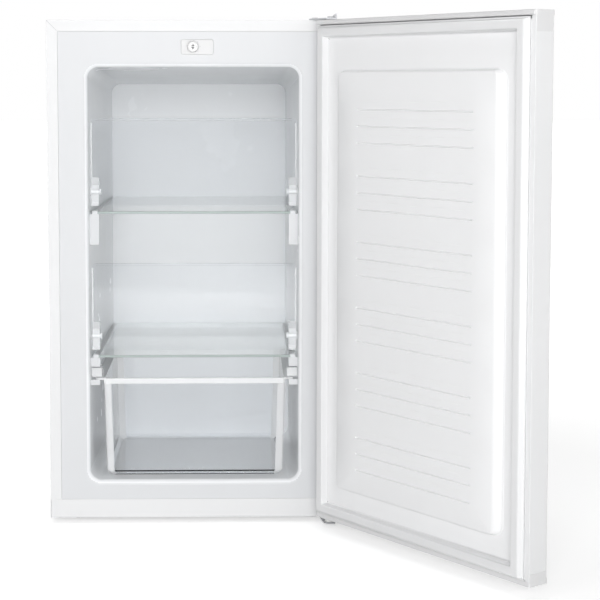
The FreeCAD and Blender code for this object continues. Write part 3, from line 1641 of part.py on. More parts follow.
def pipe_shape(points, radius, bend):
    """Eight-sided bar along a route; its volume is held against section times length."""
    points = [V(*(size(n).value for n in point)) for point in points]
    line = route(points, size(bend).value)
    first = (line[1] - line[0]).normalize()
    sides = 8
    corner = size(radius).value / math.cos(math.pi / sides) ** 0.5
    turn = FreeCAD.Rotation(V(0, 0, 1), first)
    ring_ = [line[0] + turn.multVec(V(math.cos(a), math.sin(a), 0) * corner)
             for a in (2 * math.pi * (n + 0.5) / sides for n in range(sides))]
    section = Part.makePolygon(ring_ + ring_[:1])
    path = Part.makePolygon(line)
    bar = path.makePipeShell([section], True, False, 1)
    expected = sides / 2 * math.sin(2 * math.pi / sides) * corner ** 2 * path.Length
    if abs(bar.Volume / expected - 1) > 0.02:
        raise RuntimeError(f"pipe volume {bar.Volume:.0f}, expected {expected:.0f}")
    return bar


def pipe(label, points, radius, bend):
    item = doc.addObject("Part::Feature", label)
    item.Shape = pipe_shape(points, radius, bend)
    return keep(item, label)


cond_y = back_plane + D.steel + D.cond_stand


def condenser_tube():
    """One tube folded into level passes, entered at the top and left at the bottom."""
    reach = D.cond_half
    points = [(-reach - 22, cond_y, cond_top)]
    count = int(D.cond_passes.value)
    for n in range(count):
        level = cond_top - cond_pitch * n
        side = 1 if n % 2 == 0 else -1
        if n < count - 1:
            points.append((reach * side, cond_y, level))
            points.append((reach * side, cond_y, level - cond_pitch))
    points.append((reach + D.drier_offset, cond_y, D.cond_low))
    points.append((reach + D.drier_offset, cond_y, D.drier_high))
    return pipe("condenser_tube", points, D.cond_radius, D.cond_turn)


def condenser_wires():
    """Upright wires welded across both faces of the tube passes."""
    piece = Piece("condenser_wires")
    offset = D.cond_radius + D.wire_radius - 0.15
    span_x = wire_pitch * (D.wire_count - 1)
    start = D.cond_low - D.wire_over
    made = []
    for side in (-1, 1):
        face = piece.sketch("XY_Plane", start)
        gon(face, -(span_x / 2), offset * side, D.wire_radius, 6)
        made.append(piece.pad(face, cond_top + D.wire_over - start))
    piece.row(made, "X_Axis", span_x, D.wire_count)
    piece.at(0, cond_y, 0)
    return piece.keep()


def condenser_clips():
    """Stand-off clips between the back panel and the condenser."""
    piece = Piece("condenser_clips")
    base = back_plane + D.steel
    low = D.cond_low + cond_pitch / 2 - D.clip_height / 2
    rise = cond_pitch * (D.cond_passes - 2)
    face = piece.sketch("XZ_Plane", base)
    box(face, D.clip_x - D.clip_width / 2, D.clip_x + D.clip_width / 2, low, low + D.clip_height)
    made = piece.pad(face, D.cond_stand - D.cond_radius - D.wire_radius * 2 + 0.1)
    piece.spread([made], [("Z_Axis", rise, size(2), False), ("YZ_Plane",)])
    return piece.keep()


def filter_drier():
    """Filter drier: barrel with a swaged neck at each end."""
    piece = Piece("filter_drier")
    neck, length, step = D.cond_radius + 0.8, D.drier_length, D.drier_neck
    for low, high, radius in ((size(0), step, neck), (step, length - step, D.drier_radius),
                              (length - step, length, neck)):
        face = piece.sketch("XY_Plane", low)
        circle(face, 0, 0, radius)
        piece.pad(face, high - low)
    piece.at(D.cond_half + D.drier_offset, cond_y, D.drier_high - D.drier_length)
    return piece.keep()


def pipes():
    """Suction, discharge and process pipes and the capillary."""
    r = D.pipe_radius
    pot_x = D.comp_x - D.comp_width / 2
    y = D.comp_y
    side = D.cond_half + 22
    pipe("discharge_pipe", [(pot_x + 4.6, y + 16, D.comp_seam + 18), (pot_x - 34, y + 16, D.comp_seam + 18),
                            (-side - 20, cond_y, D.comp_seam + 50), (-side - 20, cond_y, cond_top),
                            (-side, cond_y, cond_top)], D.cond_radius, 9)
    pipe("suction_pipe", [(pot_x + 5.6, y - 20, D.comp_seam + 22), (pot_x - 30, y - 20, D.comp_seam + 22),
                          (pot_x - 52, y - 10, D.comp_seam + 60), (pot_x - 52, y - 10, D.bay_top)],
         r, 12)
    pipe("process_tube", [(pot_x, y, D.comp_seam - 16), (pot_x - 26, y, D.comp_seam - 16),
                          (pot_x - 40, y + 26, D.comp_seam + 6)], r - 0.4, 10)
    x = D.cond_half + D.drier_offset
    low = D.drier_high - D.drier_length
    pipe("capillary", [(x, cond_y, low), (x, cond_y, low - 20), (x - 30, cond_y - 16, low - 26),
                       (x - 44, cond_y - 34, low + 20), (x - 44, cond_y - 34, D.bay_top)],
         D.capillary_radius, 8)


def evaporator_plate():
    """Cold plate laid on the back of the liner."""
    piece = Piece("evaporator_plate")
    level = D.liner_depth + D.liner_wall
    face = piece.sketch("XZ_Plane", level)
    eased(face, -D.evap_half, D.evap_half, D.evap_low, D.evap_high, 10)
    piece.pad(face, D.evap_plate)
    return piece.keep()


def evaporator_tube():
    """Serpentine channel of half-flat section on the cold plate."""
    piece = Piece("evaporator_tube")
    level = D.liner_depth + D.liner_wall + D.evap_plate
    wide = D.evap_tube
    reach = D.evap_half - D.evap_turn
    top = D.evap_high - D.evap_margin
    count = int(D.evap_runs.value)
    pitch = (top - D.evap_low - D.evap_margin) / (D.evap_runs - 1)
    upper, lower = [(-D.evap_half + 6, top + wide)], [(-D.evap_half + 6, top - wide)]
    for n in range(count - 1):
        z = top - pitch * n
        side = 1 if n % 2 == 0 else -1
        outer, inner = (reach + wide) * side, (reach - wide) * side
        over, under = (upper, lower) if side > 0 else (lower, upper)
        over += [(outer, z + wide), (outer, z - pitch - wide)]
        under += [(inner, z - wide), (inner, z - pitch + wide)]
    last = top - pitch * (count - 1)
    end = D.evap_half - 6 if count % 2 else -D.evap_half + 6
    upper.append((end, last + wide if count % 2 else last - wide))
    lower.append((end, last - wide if count % 2 else last + wide))
    face = piece.sketch("XZ_Plane", level)
    polygon(face, upper + lower[::-1])
    piece.pad(face, wide * 2)
    return piece.keep()


# ---------------------------------------------------------------------------------------------
# Assembly
# ---------------------------------------------------------------------------------------------
def build():
    outer_wrapper()
    front_rail()
    foot_nuts()
    inner_liner()
    foam_insulation()
    base_pan()
    back_panel()
    flap_tops = (D.mouth_high - D.flap_mouth_upper, D.shelf_upper - D.flap_mouth_lower)
    for word, level, top in zip(("upper", "lower"), (D.shelf_upper, D.shelf_lower), flap_tops):
        shelf_glass(f"shelf_glass_{word}", level)
        shelf_trims(f"shelf_trims_{word}", level)
        flap(f"flap_{word}", level, top)
        flap_pivots(f"flap_pivots_{word}", level)
    drawer_bin()
    drawer_guides()
    thermostat_bezel()
    thermostat_knob()
    thermostat_body()
    door_skin()
    door_liner()
    door_foam()
    door_cap("door_cap_top", True)
    door_cap("door_cap_bottom", False)
    door_gasket()
    gasket_magnets()
    hinge_bush("hinge_bush_top", True)
    hinge_bush("hinge_bush_bottom", False)
    top_hinge()
    low_hinge()
    hinge_spacer()
    grip = D.plate_thick + D.steel
    hex_screws("top_hinge_screws", top_screw_places(), D.cab_height + D.plate_thick, True, grip)
    hex_screws("bottom_hinge_screws", low_screw_places(), D.cab_base - D.plate_thick, False, grip)
    front_foot("front_foot_left", -1)
    front_foot("front_foot_right", 1)
    rear_feet()
    compressor_tray()
    compressor()
    compressor_grommets()
    compressor_bolts()
    relay_box()
    condenser_tube()
    condenser_wires()
    condenser_clips()
    filter_drier()
    pipes()
    evaporator_plate()
    evaporator_tube()


def check():
    """Stop on any object that failed and any sub-part without a sound solid."""
    for item in doc.Objects:
        if any(word in item.State for word in ("Invalid", "Error")):
            raise RuntimeError(f"{item.Label}: {item.State}")
    for item in parts:
        shape = item.Shape
        if shape.isNull() or not shape.isValid() or not shape.Solids:
            raise RuntimeError(f"{item.Label}: no sound solid")


def write():
    os.makedirs("parts", exist_ok=True)
    for item in parts:
        item.Shape.exportStep(os.path.join("parts", f"{item.Label}.step"))
        box_ = item.Shape.BoundBox
        print(f"{item.Label}: {len(item.Shape.Solids)} solid(s), "
              f"x {box_.XMin:.1f}..{box_.XMax:.1f} y {box_.YMin:.1f}..{box_.YMax:.1f} "
              f"z {box_.ZMin:.1f}..{box_.ZMax:.1f}")


build()
doc.recompute()
check()
write()
print(len(parts), "sub-parts written")
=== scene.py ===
import logging
import math
from collections.abc import Iterable, Mapping, Sequence
from dataclasses import dataclass
from enum import Enum

import bmesh
import bpy
from mathutils import Euler, Matrix, Vector


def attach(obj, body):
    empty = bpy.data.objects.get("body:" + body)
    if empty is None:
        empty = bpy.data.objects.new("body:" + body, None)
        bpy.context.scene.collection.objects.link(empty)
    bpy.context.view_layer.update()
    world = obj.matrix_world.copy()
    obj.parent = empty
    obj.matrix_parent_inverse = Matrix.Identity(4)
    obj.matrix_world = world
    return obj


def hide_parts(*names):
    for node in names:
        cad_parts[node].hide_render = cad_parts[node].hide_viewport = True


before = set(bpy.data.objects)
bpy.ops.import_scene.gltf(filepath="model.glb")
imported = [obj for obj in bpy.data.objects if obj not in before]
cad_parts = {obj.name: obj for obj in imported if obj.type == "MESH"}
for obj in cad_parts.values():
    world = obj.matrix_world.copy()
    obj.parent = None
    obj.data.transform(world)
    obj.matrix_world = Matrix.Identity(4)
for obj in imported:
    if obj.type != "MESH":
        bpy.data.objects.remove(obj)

log = logging.getLogger("upright_freezer")
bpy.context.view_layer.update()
MM = 0.001                # metres in a millimetre
BAY_TOP = 215.0           # where the suction pipe and the capillary enter the foam, in mm
DRIER = (106.0, 196.0)    # lowest and highest point of the filter drier, in mm


# ------------------------------------------------------------------------------------------
# Finishes
# ------------------------------------------------------------------------------------------
class Relief(Enum):
    """How a surface is uneven close to."""

    PEEL = "peel"          # sprayed powder, soft orange peel
    MOULD = "mould"        # spark-eroded mould grain
    DRAWN = "drawn"        # lines along the rolling direction
    CAST = "cast"          # rough pressed or painted shell
    CELLS = "cells"        # open cells of cut foam
    STILL = "still"        # polished, almost flat


@dataclass(frozen=True)
class Finish:
    """One material of the object, named after what it is made of.

    Lengths of relief are in metres; the scales count features per metre.
    """

    name: str
    slot: str
    colour: tuple[float, float, float]
    roughness: float
    relief: Relief = Relief.MOULD
    relief_scale: float = 900.0
    relief_depth: float = 0.00002
    tone_spread: float = 0.02
    tone_scale: float = 4.0
    rough_spread: float = 0.05
    metallic: float = 0.0
    coat: float = 0.0
    clear: float = 0.0
    ior: float = 1.5
    dust: float = 0.02
    rim_tint: tuple[float, float, float] | None = None


POWDER_WHITE = Finish("powder_coat_white", "white_steel", (0.8, 0.804, 0.81), 0.34, Relief.PEEL,
                      420.0, 0.00003, coat=0.15)
LINER_WHITE = Finish("vacuum_formed_liner", "white_liner", (0.922, 0.936, 0.952), 0.26,
                     Relief.MOULD, 60.0, 0.00008, tone_spread=0.015)
# A darker copy of the liner white for the liner's front-facing faces (flange and gusset fronts):
# painted shade that holds down the faces which catch the most light.
LINER_FRONT_PAINTED_SHADE = Finish("liner_front_painted_shade", "white_liner", (0.71, 0.72, 0.735), 0.32, Relief.MOULD,
                      60.0, 0.00008, tone_spread=0.015)
DOOR_WHITE = Finish("vacuum_formed_door_panel", "door_liner_white", (0.89, 0.893, 0.9), 0.36,
                    Relief.MOULD, 60.0, 0.00006, tone_spread=0.015)
CAP_WHITE = Finish("moulded_cap_white", "white_plastic", (0.74, 0.74, 0.745), 0.3)
SEAL_WHITE = Finish("soft_seal_white", "seal_white", (0.8, 0.803, 0.81), 0.5, Relief.MOULD,
                    1400.0, 0.00003)
ZINC_SHEET = Finish("galvanised_sheet", "zinc_sheet", (0.58, 0.6, 0.62), 0.38, Relief.DRAWN,
                    300.0, 0.00002, tone_spread=0.08, tone_scale=22.0, metallic=1.0, dust=0.1)
BACK_SHEET = Finish("back_sheet_white", "back_sheet", (0.8, 0.81, 0.82), 0.42, Relief.PEEL,
                    380.0, 0.00003, dust=0.06)
CUT_FOAM = Finish("foamed_core", "rigid_foam", (0.88, 0.82, 0.62), 0.9, Relief.CELLS,
                  1500.0, 0.0003, tone_spread=0.08)
SHELF_GLASS = Finish("shelf_glass", "shelf_pane", (0.965, 0.985, 0.978), 0.03, Relief.STILL,
                     8.0, 0.00002, clear=1.0, ior=1.5, rim_tint=(0.42, 0.56, 0.52))
CLEAR_PLASTIC = Finish("clear_styrene", "clear_plastic", (0.955, 0.965, 0.975), 0.05, Relief.STILL,
                       14.0, 0.00012, clear=1.0, ior=1.45)
CLEAR_BLOCK = Finish("clear_pivot_blocks", "clear_pivot", (0.95, 0.96, 0.968), 0.16, Relief.STILL,
                     30.0, 0.00008, clear=0.45, ior=1.45)
FROSTED_EAR = Finish("frosted_ears", "clear_plastic", (0.965, 0.972, 0.98), 0.12, Relief.STILL,
                     30.0, 0.00008, clear=0.35, ior=1.45)
SHELF_EDGE = Finish("shelf_edge", "shelf_pane", (0.6, 0.68, 0.66), 0.2, Relief.STILL,
                    30.0, 0.00004, clear=0.3, ior=1.5)
# Near-black marks that stand for the shade inside the seal's corner slits: painted shade.
SLIT_PAINTED_SHADE = Finish("mitre_slit_painted_shade", "seal_white", (0.2, 0.2, 0.21), 0.7)
SCALE_GREY = Finish("scale_print", "trim_grey", (0.42, 0.43, 0.45), 0.5)
SEAM_GREY = Finish("seam_shade", "trim_grey", (0.55, 0.56, 0.57), 0.6)
TRIM_GREY = Finish("shelf_trim_grey", "trim_grey", (0.74, 0.755, 0.77), 0.36)
KNOB_WHITE = Finish("dial_white", "knob_white", (0.86, 0.86, 0.86), 0.26)
SWITCH_CASE = Finish("switch_case_dark", "switch_case", (0.13, 0.13, 0.14), 0.6)
MAGNET_DARK = Finish("magnet_strip", "magnet_dark", (0.1, 0.1, 0.1), 0.7)
BUSH_WHITE = Finish("nylon_bush", "bush_white", (0.82, 0.82, 0.8), 0.4)
HINGE_STEEL = Finish("hinge_plate", "hinge_steel", (0.6, 0.61, 0.63), 0.36, Relief.DRAWN,
                     500.0, 0.00002, tone_spread=0.05, metallic=0.85)
SCREW_ZINC = Finish("screw_zinc", "screw_zinc", (0.7, 0.7, 0.71), 0.28, Relief.DRAWN,
                    900.0, 0.00001, tone_spread=0.06, metallic=1.0)
FOOT_GREY = Finish("foot_plastic", "foot_plastic", (0.78, 0.78, 0.78), 0.45)
POT_BLACK = Finish("pot_enamel", "pot_black", (0.03, 0.031, 0.034), 0.33, Relief.CAST,
                   160.0, 0.00015, tone_spread=0.12, coat=0.25, dust=0.1)
MOUNT_RUBBER = Finish("mount_rubber", "mount_rubber", (0.045, 0.045, 0.045), 0.75, dust=0.12)
RELAY_BLACK = Finish("relay_cover", "relay_black", (0.055, 0.055, 0.06), 0.45, dust=0.1)
GRILLE_BLACK = Finish("condenser_enamel", "condenser_black", (0.045, 0.046, 0.05), 0.38,
                      Relief.CAST, 300.0, 0.00008, tone_spread=0.1, dust=0.1)
COPPER = Finish("pipe_copper", "copper", (0.68, 0.36, 0.23), 0.32, Relief.DRAWN, 700.0, 0.00002,
                tone_spread=0.14, tone_scale=30.0, metallic=1.0, rough_spread=0.12, dust=0.06)
CLIP_BLACK = Finish("clip_plastic", "clip_plastic", (0.09, 0.09, 0.1), 0.5, dust=0.08)
COLD_PLATE = Finish("cold_plate_aluminium", "cold_plate", (0.78, 0.79, 0.8), 0.4, Relief.DRAWN,
                    260.0, 0.00002, metallic=1.0)


def node(tree: bpy.types.NodeTree, kind: str, sources: Mapping[str | int, object],
         **settings: object) -> bpy.types.Node:
    """Add a shader node, set it up and wire it.

    Args:
        tree: The tree it joins.
        kind: Its type, without the word ShaderNode.
        sources: An output or a plain value for each input, by name or number.
        settings: Its own settings.

    Returns:
        The node.
    """
    made = tree.nodes.new(f"ShaderNode{kind}")
    for label, value in settings.items():
        setattr(made, label, value)
    for label, source in sources.items():
        if isinstance(source, bpy.types.NodeSocket):
            tree.links.new(source, made.inputs[label])
        else:
            made.inputs[label].default_value = source
    return made


class Surfaces:
    """Builds each finish once, from a small set of shared shader groups."""

    cells: Mapping[Relief, float] = {Relief.MOULD: 0.35, Relief.CAST: 0.15, Relief.CELLS: 1.0}
    dust_tone: tuple[float, float, float, float] = (0.62, 0.6, 0.57, 1)
    offset: tuple[float, float, float] = (0.31, 0.17, 0.05)

    def __init__(self) -> None:
        """Make the shared groups."""
        self.made: dict[str, bpy.types.Material] = {}
        self.tone = self._tone_group()
        self.grain = self._grain_group()
        self.lines = self._lines_group()
        self.dust = self._dust_group()

    @staticmethod
    def _group(name: str, inputs: Mapping[str, object], outputs: Sequence[str],
               ) -> tuple[bpy.types.NodeTree, bpy.types.NodeInputs, bpy.types.NodeInputs]:
        """Start a shader group that places itself by a Vector input.

        Args:
            name: Name of the group.
            inputs: Default of each further input, a number or a colour.
            outputs: Names of the outputs.

        Returns:
            The tree, what its input node gives and what its output node takes.
        """
        tree = bpy.data.node_groups.new(name, "ShaderNodeTree")
        sockets = tree.interface.new_socket
        sockets(name="Vector", in_out="INPUT", socket_type="NodeSocketVector")
        for label, default in inputs.items():
            kind = "NodeSocketColor" if isinstance(default, tuple) else "NodeSocketFloat"
            sockets(name=label, in_out="INPUT", socket_type=kind).default_value = default
        for label in outputs:
            kind = "NodeSocketColor" if label == "Colour" else "NodeSocketFloat"
            sockets(name=label, in_out="OUTPUT", socket_type=kind)
        start, end = tree.nodes.new("NodeGroupInput"), tree.nodes.new("NodeGroupOutput")
        return tree, start.outputs, end.inputs

    def _tone_group(self) -> bpy.types.NodeTree:
        """Slow change of colour over a surface, with a mask for the sheen."""
        tree, given, taken = self._group(
            "uneven_tone", {"Colour": (1, 1, 1, 1), "Scale": 4.0, "Spread": 0.02},
            ("Colour", "Mask"))
        noise = node(tree, "TexNoise", {"Vector": given["Vector"], "Scale": given["Scale"],
                                        "Detail": 4.0, "Roughness": 0.6})
        centre = node(tree, "Math", {0: noise.outputs["Fac"], 1: 0.5}, operation="SUBTRACT")
        swing = node(tree, "Math", {0: centre.outputs[0], 1: given["Spread"]},
                     operation="MULTIPLY")
        value = node(tree, "Math", {0: swing.outputs[0], 1: 2.0, 2: 1.0},
                     operation="MULTIPLY_ADD")
        shade = node(tree, "HueSaturation", {"Color": given["Colour"], "Value": value.outputs[0]})
        tree.links.new(shade.outputs["Color"], taken["Colour"])
        tree.links.new(noise.outputs["Fac"], taken["Mask"])
        return tree

    def _grain_group(self) -> bpy.types.NodeTree:
        """Fine relief: cells of a mould grain mixed with a softer swell."""
        tree, given, taken = self._group("fine_relief", {"Scale": 900.0, "Cells": 0.3},
                                         ("Height",))
        spread = {"Vector": given["Vector"], "Scale": given["Scale"]}
        swell = node(tree, "TexNoise", {**spread, "Detail": 3.0})
        cells = node(tree, "TexVoronoi", spread, feature="SMOOTH_F1")
        blend = node(tree, "Mix", {"Factor": given["Cells"], "A": swell.outputs["Fac"],
                                   "B": cells.outputs["Distance"]})
        tree.links.new(blend.outputs["Result"], taken["Height"])
        return tree

    def _lines_group(self) -> bpy.types.NodeTree:
        """Lines left by rolling or drawing, long in X and close together in Y and Z."""
        tree, given, taken = self._group("drawn_lines", {"Scale": 300.0, "Stretch": 0.04},
                                         ("Height",))
        parts = node(tree, "SeparateXYZ", {0: given["Vector"]}).outputs
        pull = node(tree, "Math", {0: parts["X"], 1: given["Stretch"]}, operation="MULTIPLY")
        joined = node(tree, "CombineXYZ", {"X": pull.outputs[0], "Y": parts["Y"],
                                           "Z": parts["Z"]})
        noise = node(tree, "TexNoise", {"Vector": joined.outputs[0], "Scale": given["Scale"],
                                        "Detail": 2.0})
        tree.links.new(noise.outputs["Fac"], taken["Height"])
        return tree

    def _dust_group(self) -> bpy.types.NodeTree:
        """Dust that settles on what faces up, in patches."""
        tree, given, taken = self._group("settled_dust", {"Colour": (1, 1, 1, 1), "Amount": 0.05},
                                         ("Colour",))
        facing = node(tree, "NewGeometry", {})
        parts = node(tree, "SeparateXYZ", {0: facing.outputs["Normal"]})
        upward = node(tree, "MapRange", {"Value": parts.outputs["Z"], "From Min": 0.2})
        noise = node(tree, "TexNoise", {"Vector": given["Vector"], "Scale": 35.0, "Detail": 5.0})
        patches = node(tree, "Math", {0: upward.outputs[0], 1: noise.outputs["Fac"]},
                       operation="MULTIPLY")
        amount = node(tree, "Math", {0: patches.outputs[0], 1: given["Amount"]},
                      operation="MULTIPLY")
        mix = node(tree, "Mix", {"Factor": amount.outputs[0], "A": given["Colour"],
                                 "B": self.dust_tone}, data_type="RGBA")
        tree.links.new(mix.outputs["Result"], taken["Colour"])
        return tree

    def of(self, finish: Finish) -> bpy.types.Material:
        """Return the material of a finish, making it the first time."""
        if finish.name not in self.made:
            self.made[finish.name] = self._build(finish)
        return self.made[finish.name]

    def _build(self, finish: Finish) -> bpy.types.Material:
        """Lay out one finish's nodes.

        Args:
            finish: The finish to build.

        Returns:
            The new material.
        """
        material = bpy.data.materials.new(finish.name)
        material.use_nodes = True
        tree = material.node_tree
        shader = tree.nodes["Principled BSDF"]
        coords = node(tree, "TexCoord", {})
        place = node(tree, "Mapping", {"Vector": coords.outputs["Object"],
                                       "Location": self.offset})

        def placed(group: bpy.types.NodeTree, **values: object) -> bpy.types.Node:
            """Put a shared group in this material with its own values."""
            return node(tree, "Group", {"Vector": place.outputs[0], **values}, node_tree=group)

        tone = placed(self.tone, Scale=finish.tone_scale, Spread=finish.tone_spread,
                      Colour=(*finish.colour, 1))
        colour = tone.outputs["Colour"]
        if finish.rim_tint is not None:
            colour = self._rim(tree, coords, colour, finish.rim_tint)
        if finish.dust > 0 and finish.clear == 0:
            colour = placed(self.dust, Amount=finish.dust, Colour=colour).outputs["Colour"]
        sheen = node(tree, "MapRange", {
            "Value": tone.outputs["Mask"], "To Max": finish.roughness + finish.rough_spread,
            "To Min": max(finish.roughness - finish.rough_spread, 0.0)})
        if finish.relief is Relief.DRAWN:
            relief = placed(self.lines, Scale=finish.relief_scale)
        else:
            relief = placed(self.grain, Scale=finish.relief_scale,
                            Cells=self.cells.get(finish.relief, 0.0))
        bump = node(tree, "Bump", {"Distance": finish.relief_depth,
                                   "Height": relief.outputs["Height"]})
        for output, label in ((colour, "Base Color"), (sheen.outputs[0], "Roughness"),
                              (bump.outputs["Normal"], "Normal")):
            tree.links.new(output, shader.inputs[label])
        for label, value in (("Metallic", finish.metallic), ("Coat Weight", finish.coat),
                             ("IOR", finish.ior), ("Transmission Weight", finish.clear)):
            shader.inputs[label].default_value = value
        if finish.clear > 0:
            path = node(tree, "LightPath", {})
            through = node(tree, "BsdfTransparent", {
                "Color": (*(0.8 + c / 5 for c in finish.colour), 1)})
            pick = node(tree, "MixShader", {"Fac": path.outputs["Is Shadow Ray"],
                                            1: shader.outputs[0], 2: through.outputs[0]})
            tree.links.new(pick.outputs[0], tree.nodes["Material Output"].inputs["Surface"])
        return material

    @staticmethod
    def _rim(tree: bpy.types.NodeTree, coords: bpy.types.Node, colour: bpy.types.NodeSocket,
             tint: tuple[float, float, float]) -> bpy.types.NodeSocket:
        """Tint the cut edges of a sheet, where one looks along the glass.

        Args:
            tree: The material's tree.
            coords: Its texture coordinate node.
            colour: The colour of the sheet's faces.
            tint: The colour of its edges.

        Returns:
            The tinted colour.
        """
        parts = node(tree, "SeparateXYZ", {0: coords.outputs["Normal"]})
        level = node(tree, "Math", {0: parts.outputs["Z"]}, operation="ABSOLUTE")
        edge = node(tree, "MapRange", {"Value": level.outputs[0], "From Min": 0.9,
                                       "From Max": 0.4})
        mix = node(tree, "Mix", {"Factor": edge.outputs[0], "A": colour, "B": (*tint, 1)},
                   data_type="RGBA")
        return mix.outputs["Result"]


# ------------------------------------------------------------------------------------------
# Shaping
# ------------------------------------------------------------------------------------------
@dataclass
class Edge:
    """How the edges of a piece are eased.

    Attributes:
        width: Width of the eased edge in metres, 0 for none.
        segments: Steps across it.
        angle: Faces that meet at more than this many degrees get it.
    """

    width: float = 0.0004
    segments: int = 2
    angle: float = 35.0


class Maker:
    """Base of every sub-assembly: turns bmeshes into dressed pieces."""

    body: str = "cabinet"

    def __init__(self, surfaces: Surfaces) -> None:
        """Keep the finishes that this sub-assembly draws on."""
        self.surfaces = surfaces

    @staticmethod
    def solid(name: str) -> bmesh.types.BMesh:
        """Merge a copy of a CAD node and join its flat faces.

        Args:
            name: The CAD node.

        Returns:
            The copy as a bmesh.
        """
        bm = bmesh.new()
        bm.from_mesh(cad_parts[name].data)
        bmesh.ops.remove_doubles(bm, verts=bm.verts, dist=2e-6)
        bmesh.ops.dissolve_limit(bm, angle_limit=math.radians(0.4), verts=bm.verts,
                                 edges=bm.edges)
        return bm

    @staticmethod
    def split(bm: bmesh.types.BMesh, faces: Sequence[bmesh.types.BMFace],
              point: tuple[float, float, float], normal: tuple[float, float, float],
              near: float) -> None:
        """Split faces along a plane.

        Args:
            bm: The shape.
            faces: Its faces to be split.
            point: A point of the plane.
            normal: The plane's normal.
            near: How close to the plane a corner counts as on it.
        """
        edges = list({edge for face in faces for edge in face.edges})
        verts = list({vert for face in faces for vert in face.verts})
        bmesh.ops.bisect_plane(bm, geom=[*faces, *edges, *verts], dist=near, plane_co=point,
                               plane_no=normal)

    @staticmethod
    def stacked(bm: bmesh.types.BMesh, profile: Sequence[tuple[float, float]],
                segments: int = 32, flat: float = 0.0, flutes: int = 0,
                place: Matrix | None = None) -> None:
        """Join level rings into one closed round or oval body.

        Args:
            bm: The shape it joins.
            profile: Radius and height of each ring in millimetres, from the lowest up.
            segments: Corners of a ring.
            flat: Half the length of the straight sides in metres, 0 for a round body.
            flutes: How many grip flutes run up its widest rings, 0 for none.
            place: Where the body goes.
        """
        rings = [(radius * MM, level * MM) for radius, level in profile]
        widest = max(radius for radius, _ in rings)
        every = segments // flutes if flutes else 0
        turn = Matrix.Rotation(math.pi / segments, 4, "Z")
        last: list[bmesh.types.BMEdge] = []
        made_verts: list[bmesh.types.BMVert] = []
        for step, (radius, level) in enumerate(rings):
            made = bmesh.ops.create_circle(bm, cap_ends=step in (0, len(rings) - 1),
                                           radius=radius, segments=segments,
                                           matrix=Matrix.Translation((0, 0, level)) @ turn)
            for number, vert in enumerate(made["verts"]):
                if every and radius > widest * 0.93 and number % every == 0:
                    vert.co.x *= 0.94
                    vert.co.y *= 0.94
                if flat:
                    vert.co.x += math.copysign(flat, vert.co.x)
            now = list({edge for vert in made["verts"] for edge in vert.link_edges})
            if last:
                bmesh.ops.bridge_loops(bm, edges=last + now)
            last = now
            made_verts += made["verts"]
        bmesh.ops.recalc_face_normals(bm, faces=list({face for vert in made_verts
                                                      for face in vert.link_faces}))
        if place is not None:
            bmesh.ops.transform(bm, matrix=place, verts=made_verts)

    @staticmethod
    def block(bm: bmesh.types.BMesh, low: tuple[float, float, float],
              high: tuple[float, float, float], ease: float, steps: int = 2) -> None:
        """Add a box whose edges are eased.

        Args:
            bm: The shape it joins.
            low: Its lowest corner in metres.
            high: Its highest corner.
            ease: Width of its eased edges.
            steps: Segments across them.
        """
        middle = [(a + b) / 2 for a, b in zip(low, high)]
        reach = [b - a for a, b in zip(low, high)]
        made = bmesh.ops.create_cube(bm, size=1.0, matrix=Matrix.Translation(middle)
                                     @ Matrix.Diagonal((*reach, 1)))
        edges = list({edge for vert in made["verts"] for edge in vert.link_edges})
        bmesh.ops.bevel(bm, geom=edges, offset=ease, offset_type="OFFSET", affect="EDGES",
                        segments=steps, profile=0.5, material=-1)

    def tube(self, name: str, replaced: str, finish: Finish,
             runs: Sequence[Sequence[tuple[float, float, float]]], radius: float,
             bend: float = 0.0) -> None:
        """Draw round tube or wire through points in millimetres, with an arc at each corner.

        Args:
            name: Name of the piece.
            replaced: CAD node that it stands for.
            finish: Its finish.
            runs: Points of each length of tube.
            radius: Its radius in millimetres.
            bend: How far from a corner the arc starts.
        """
        curve = bpy.data.curves.new(name, "CURVE")
        curve.dimensions = "3D"
        curve.bevel_depth = radius * MM
        curve.bevel_resolution = 3
        curve.resolution_u = 6
        curve.use_fill_caps = True
        for run in runs:
            points = [Vector(point) * MM for point in run]
            knots = [(points[0], points[0], points[0])]
            for before, corner, after in zip(points, points[1:], points[2:]):
                back = min(bend * MM, (corner - before).length * 0.48,
                           (after - corner).length * 0.48)
                into = corner + (before - corner).normalized() * back
                out = corner + (after - corner).normalized() * back
                knots.append((into, into, into.lerp(corner, 0.55)))
                knots.append((out.lerp(corner, 0.55), out, out))
            knots.append((points[-1], points[-1], points[-1]))
            spline = curve.splines.new("BEZIER")
            spline.bezier_points.add(len(knots) - 1)
            for knot, (left, middle, right) in zip(spline.bezier_points, knots):
                knot.handle_left_type = knot.handle_right_type = "FREE"
                knot.handle_left, knot.co, knot.handle_right = left, middle, right
        curve.materials.append(self.surfaces.of(finish))
        obj = bpy.data.objects.new(name, curve)
        bpy.context.scene.collection.objects.link(obj)
        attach(obj, self.body)
        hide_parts(replaced)
        log.info("%s: %d runs on %s", name, len(runs), self.body)

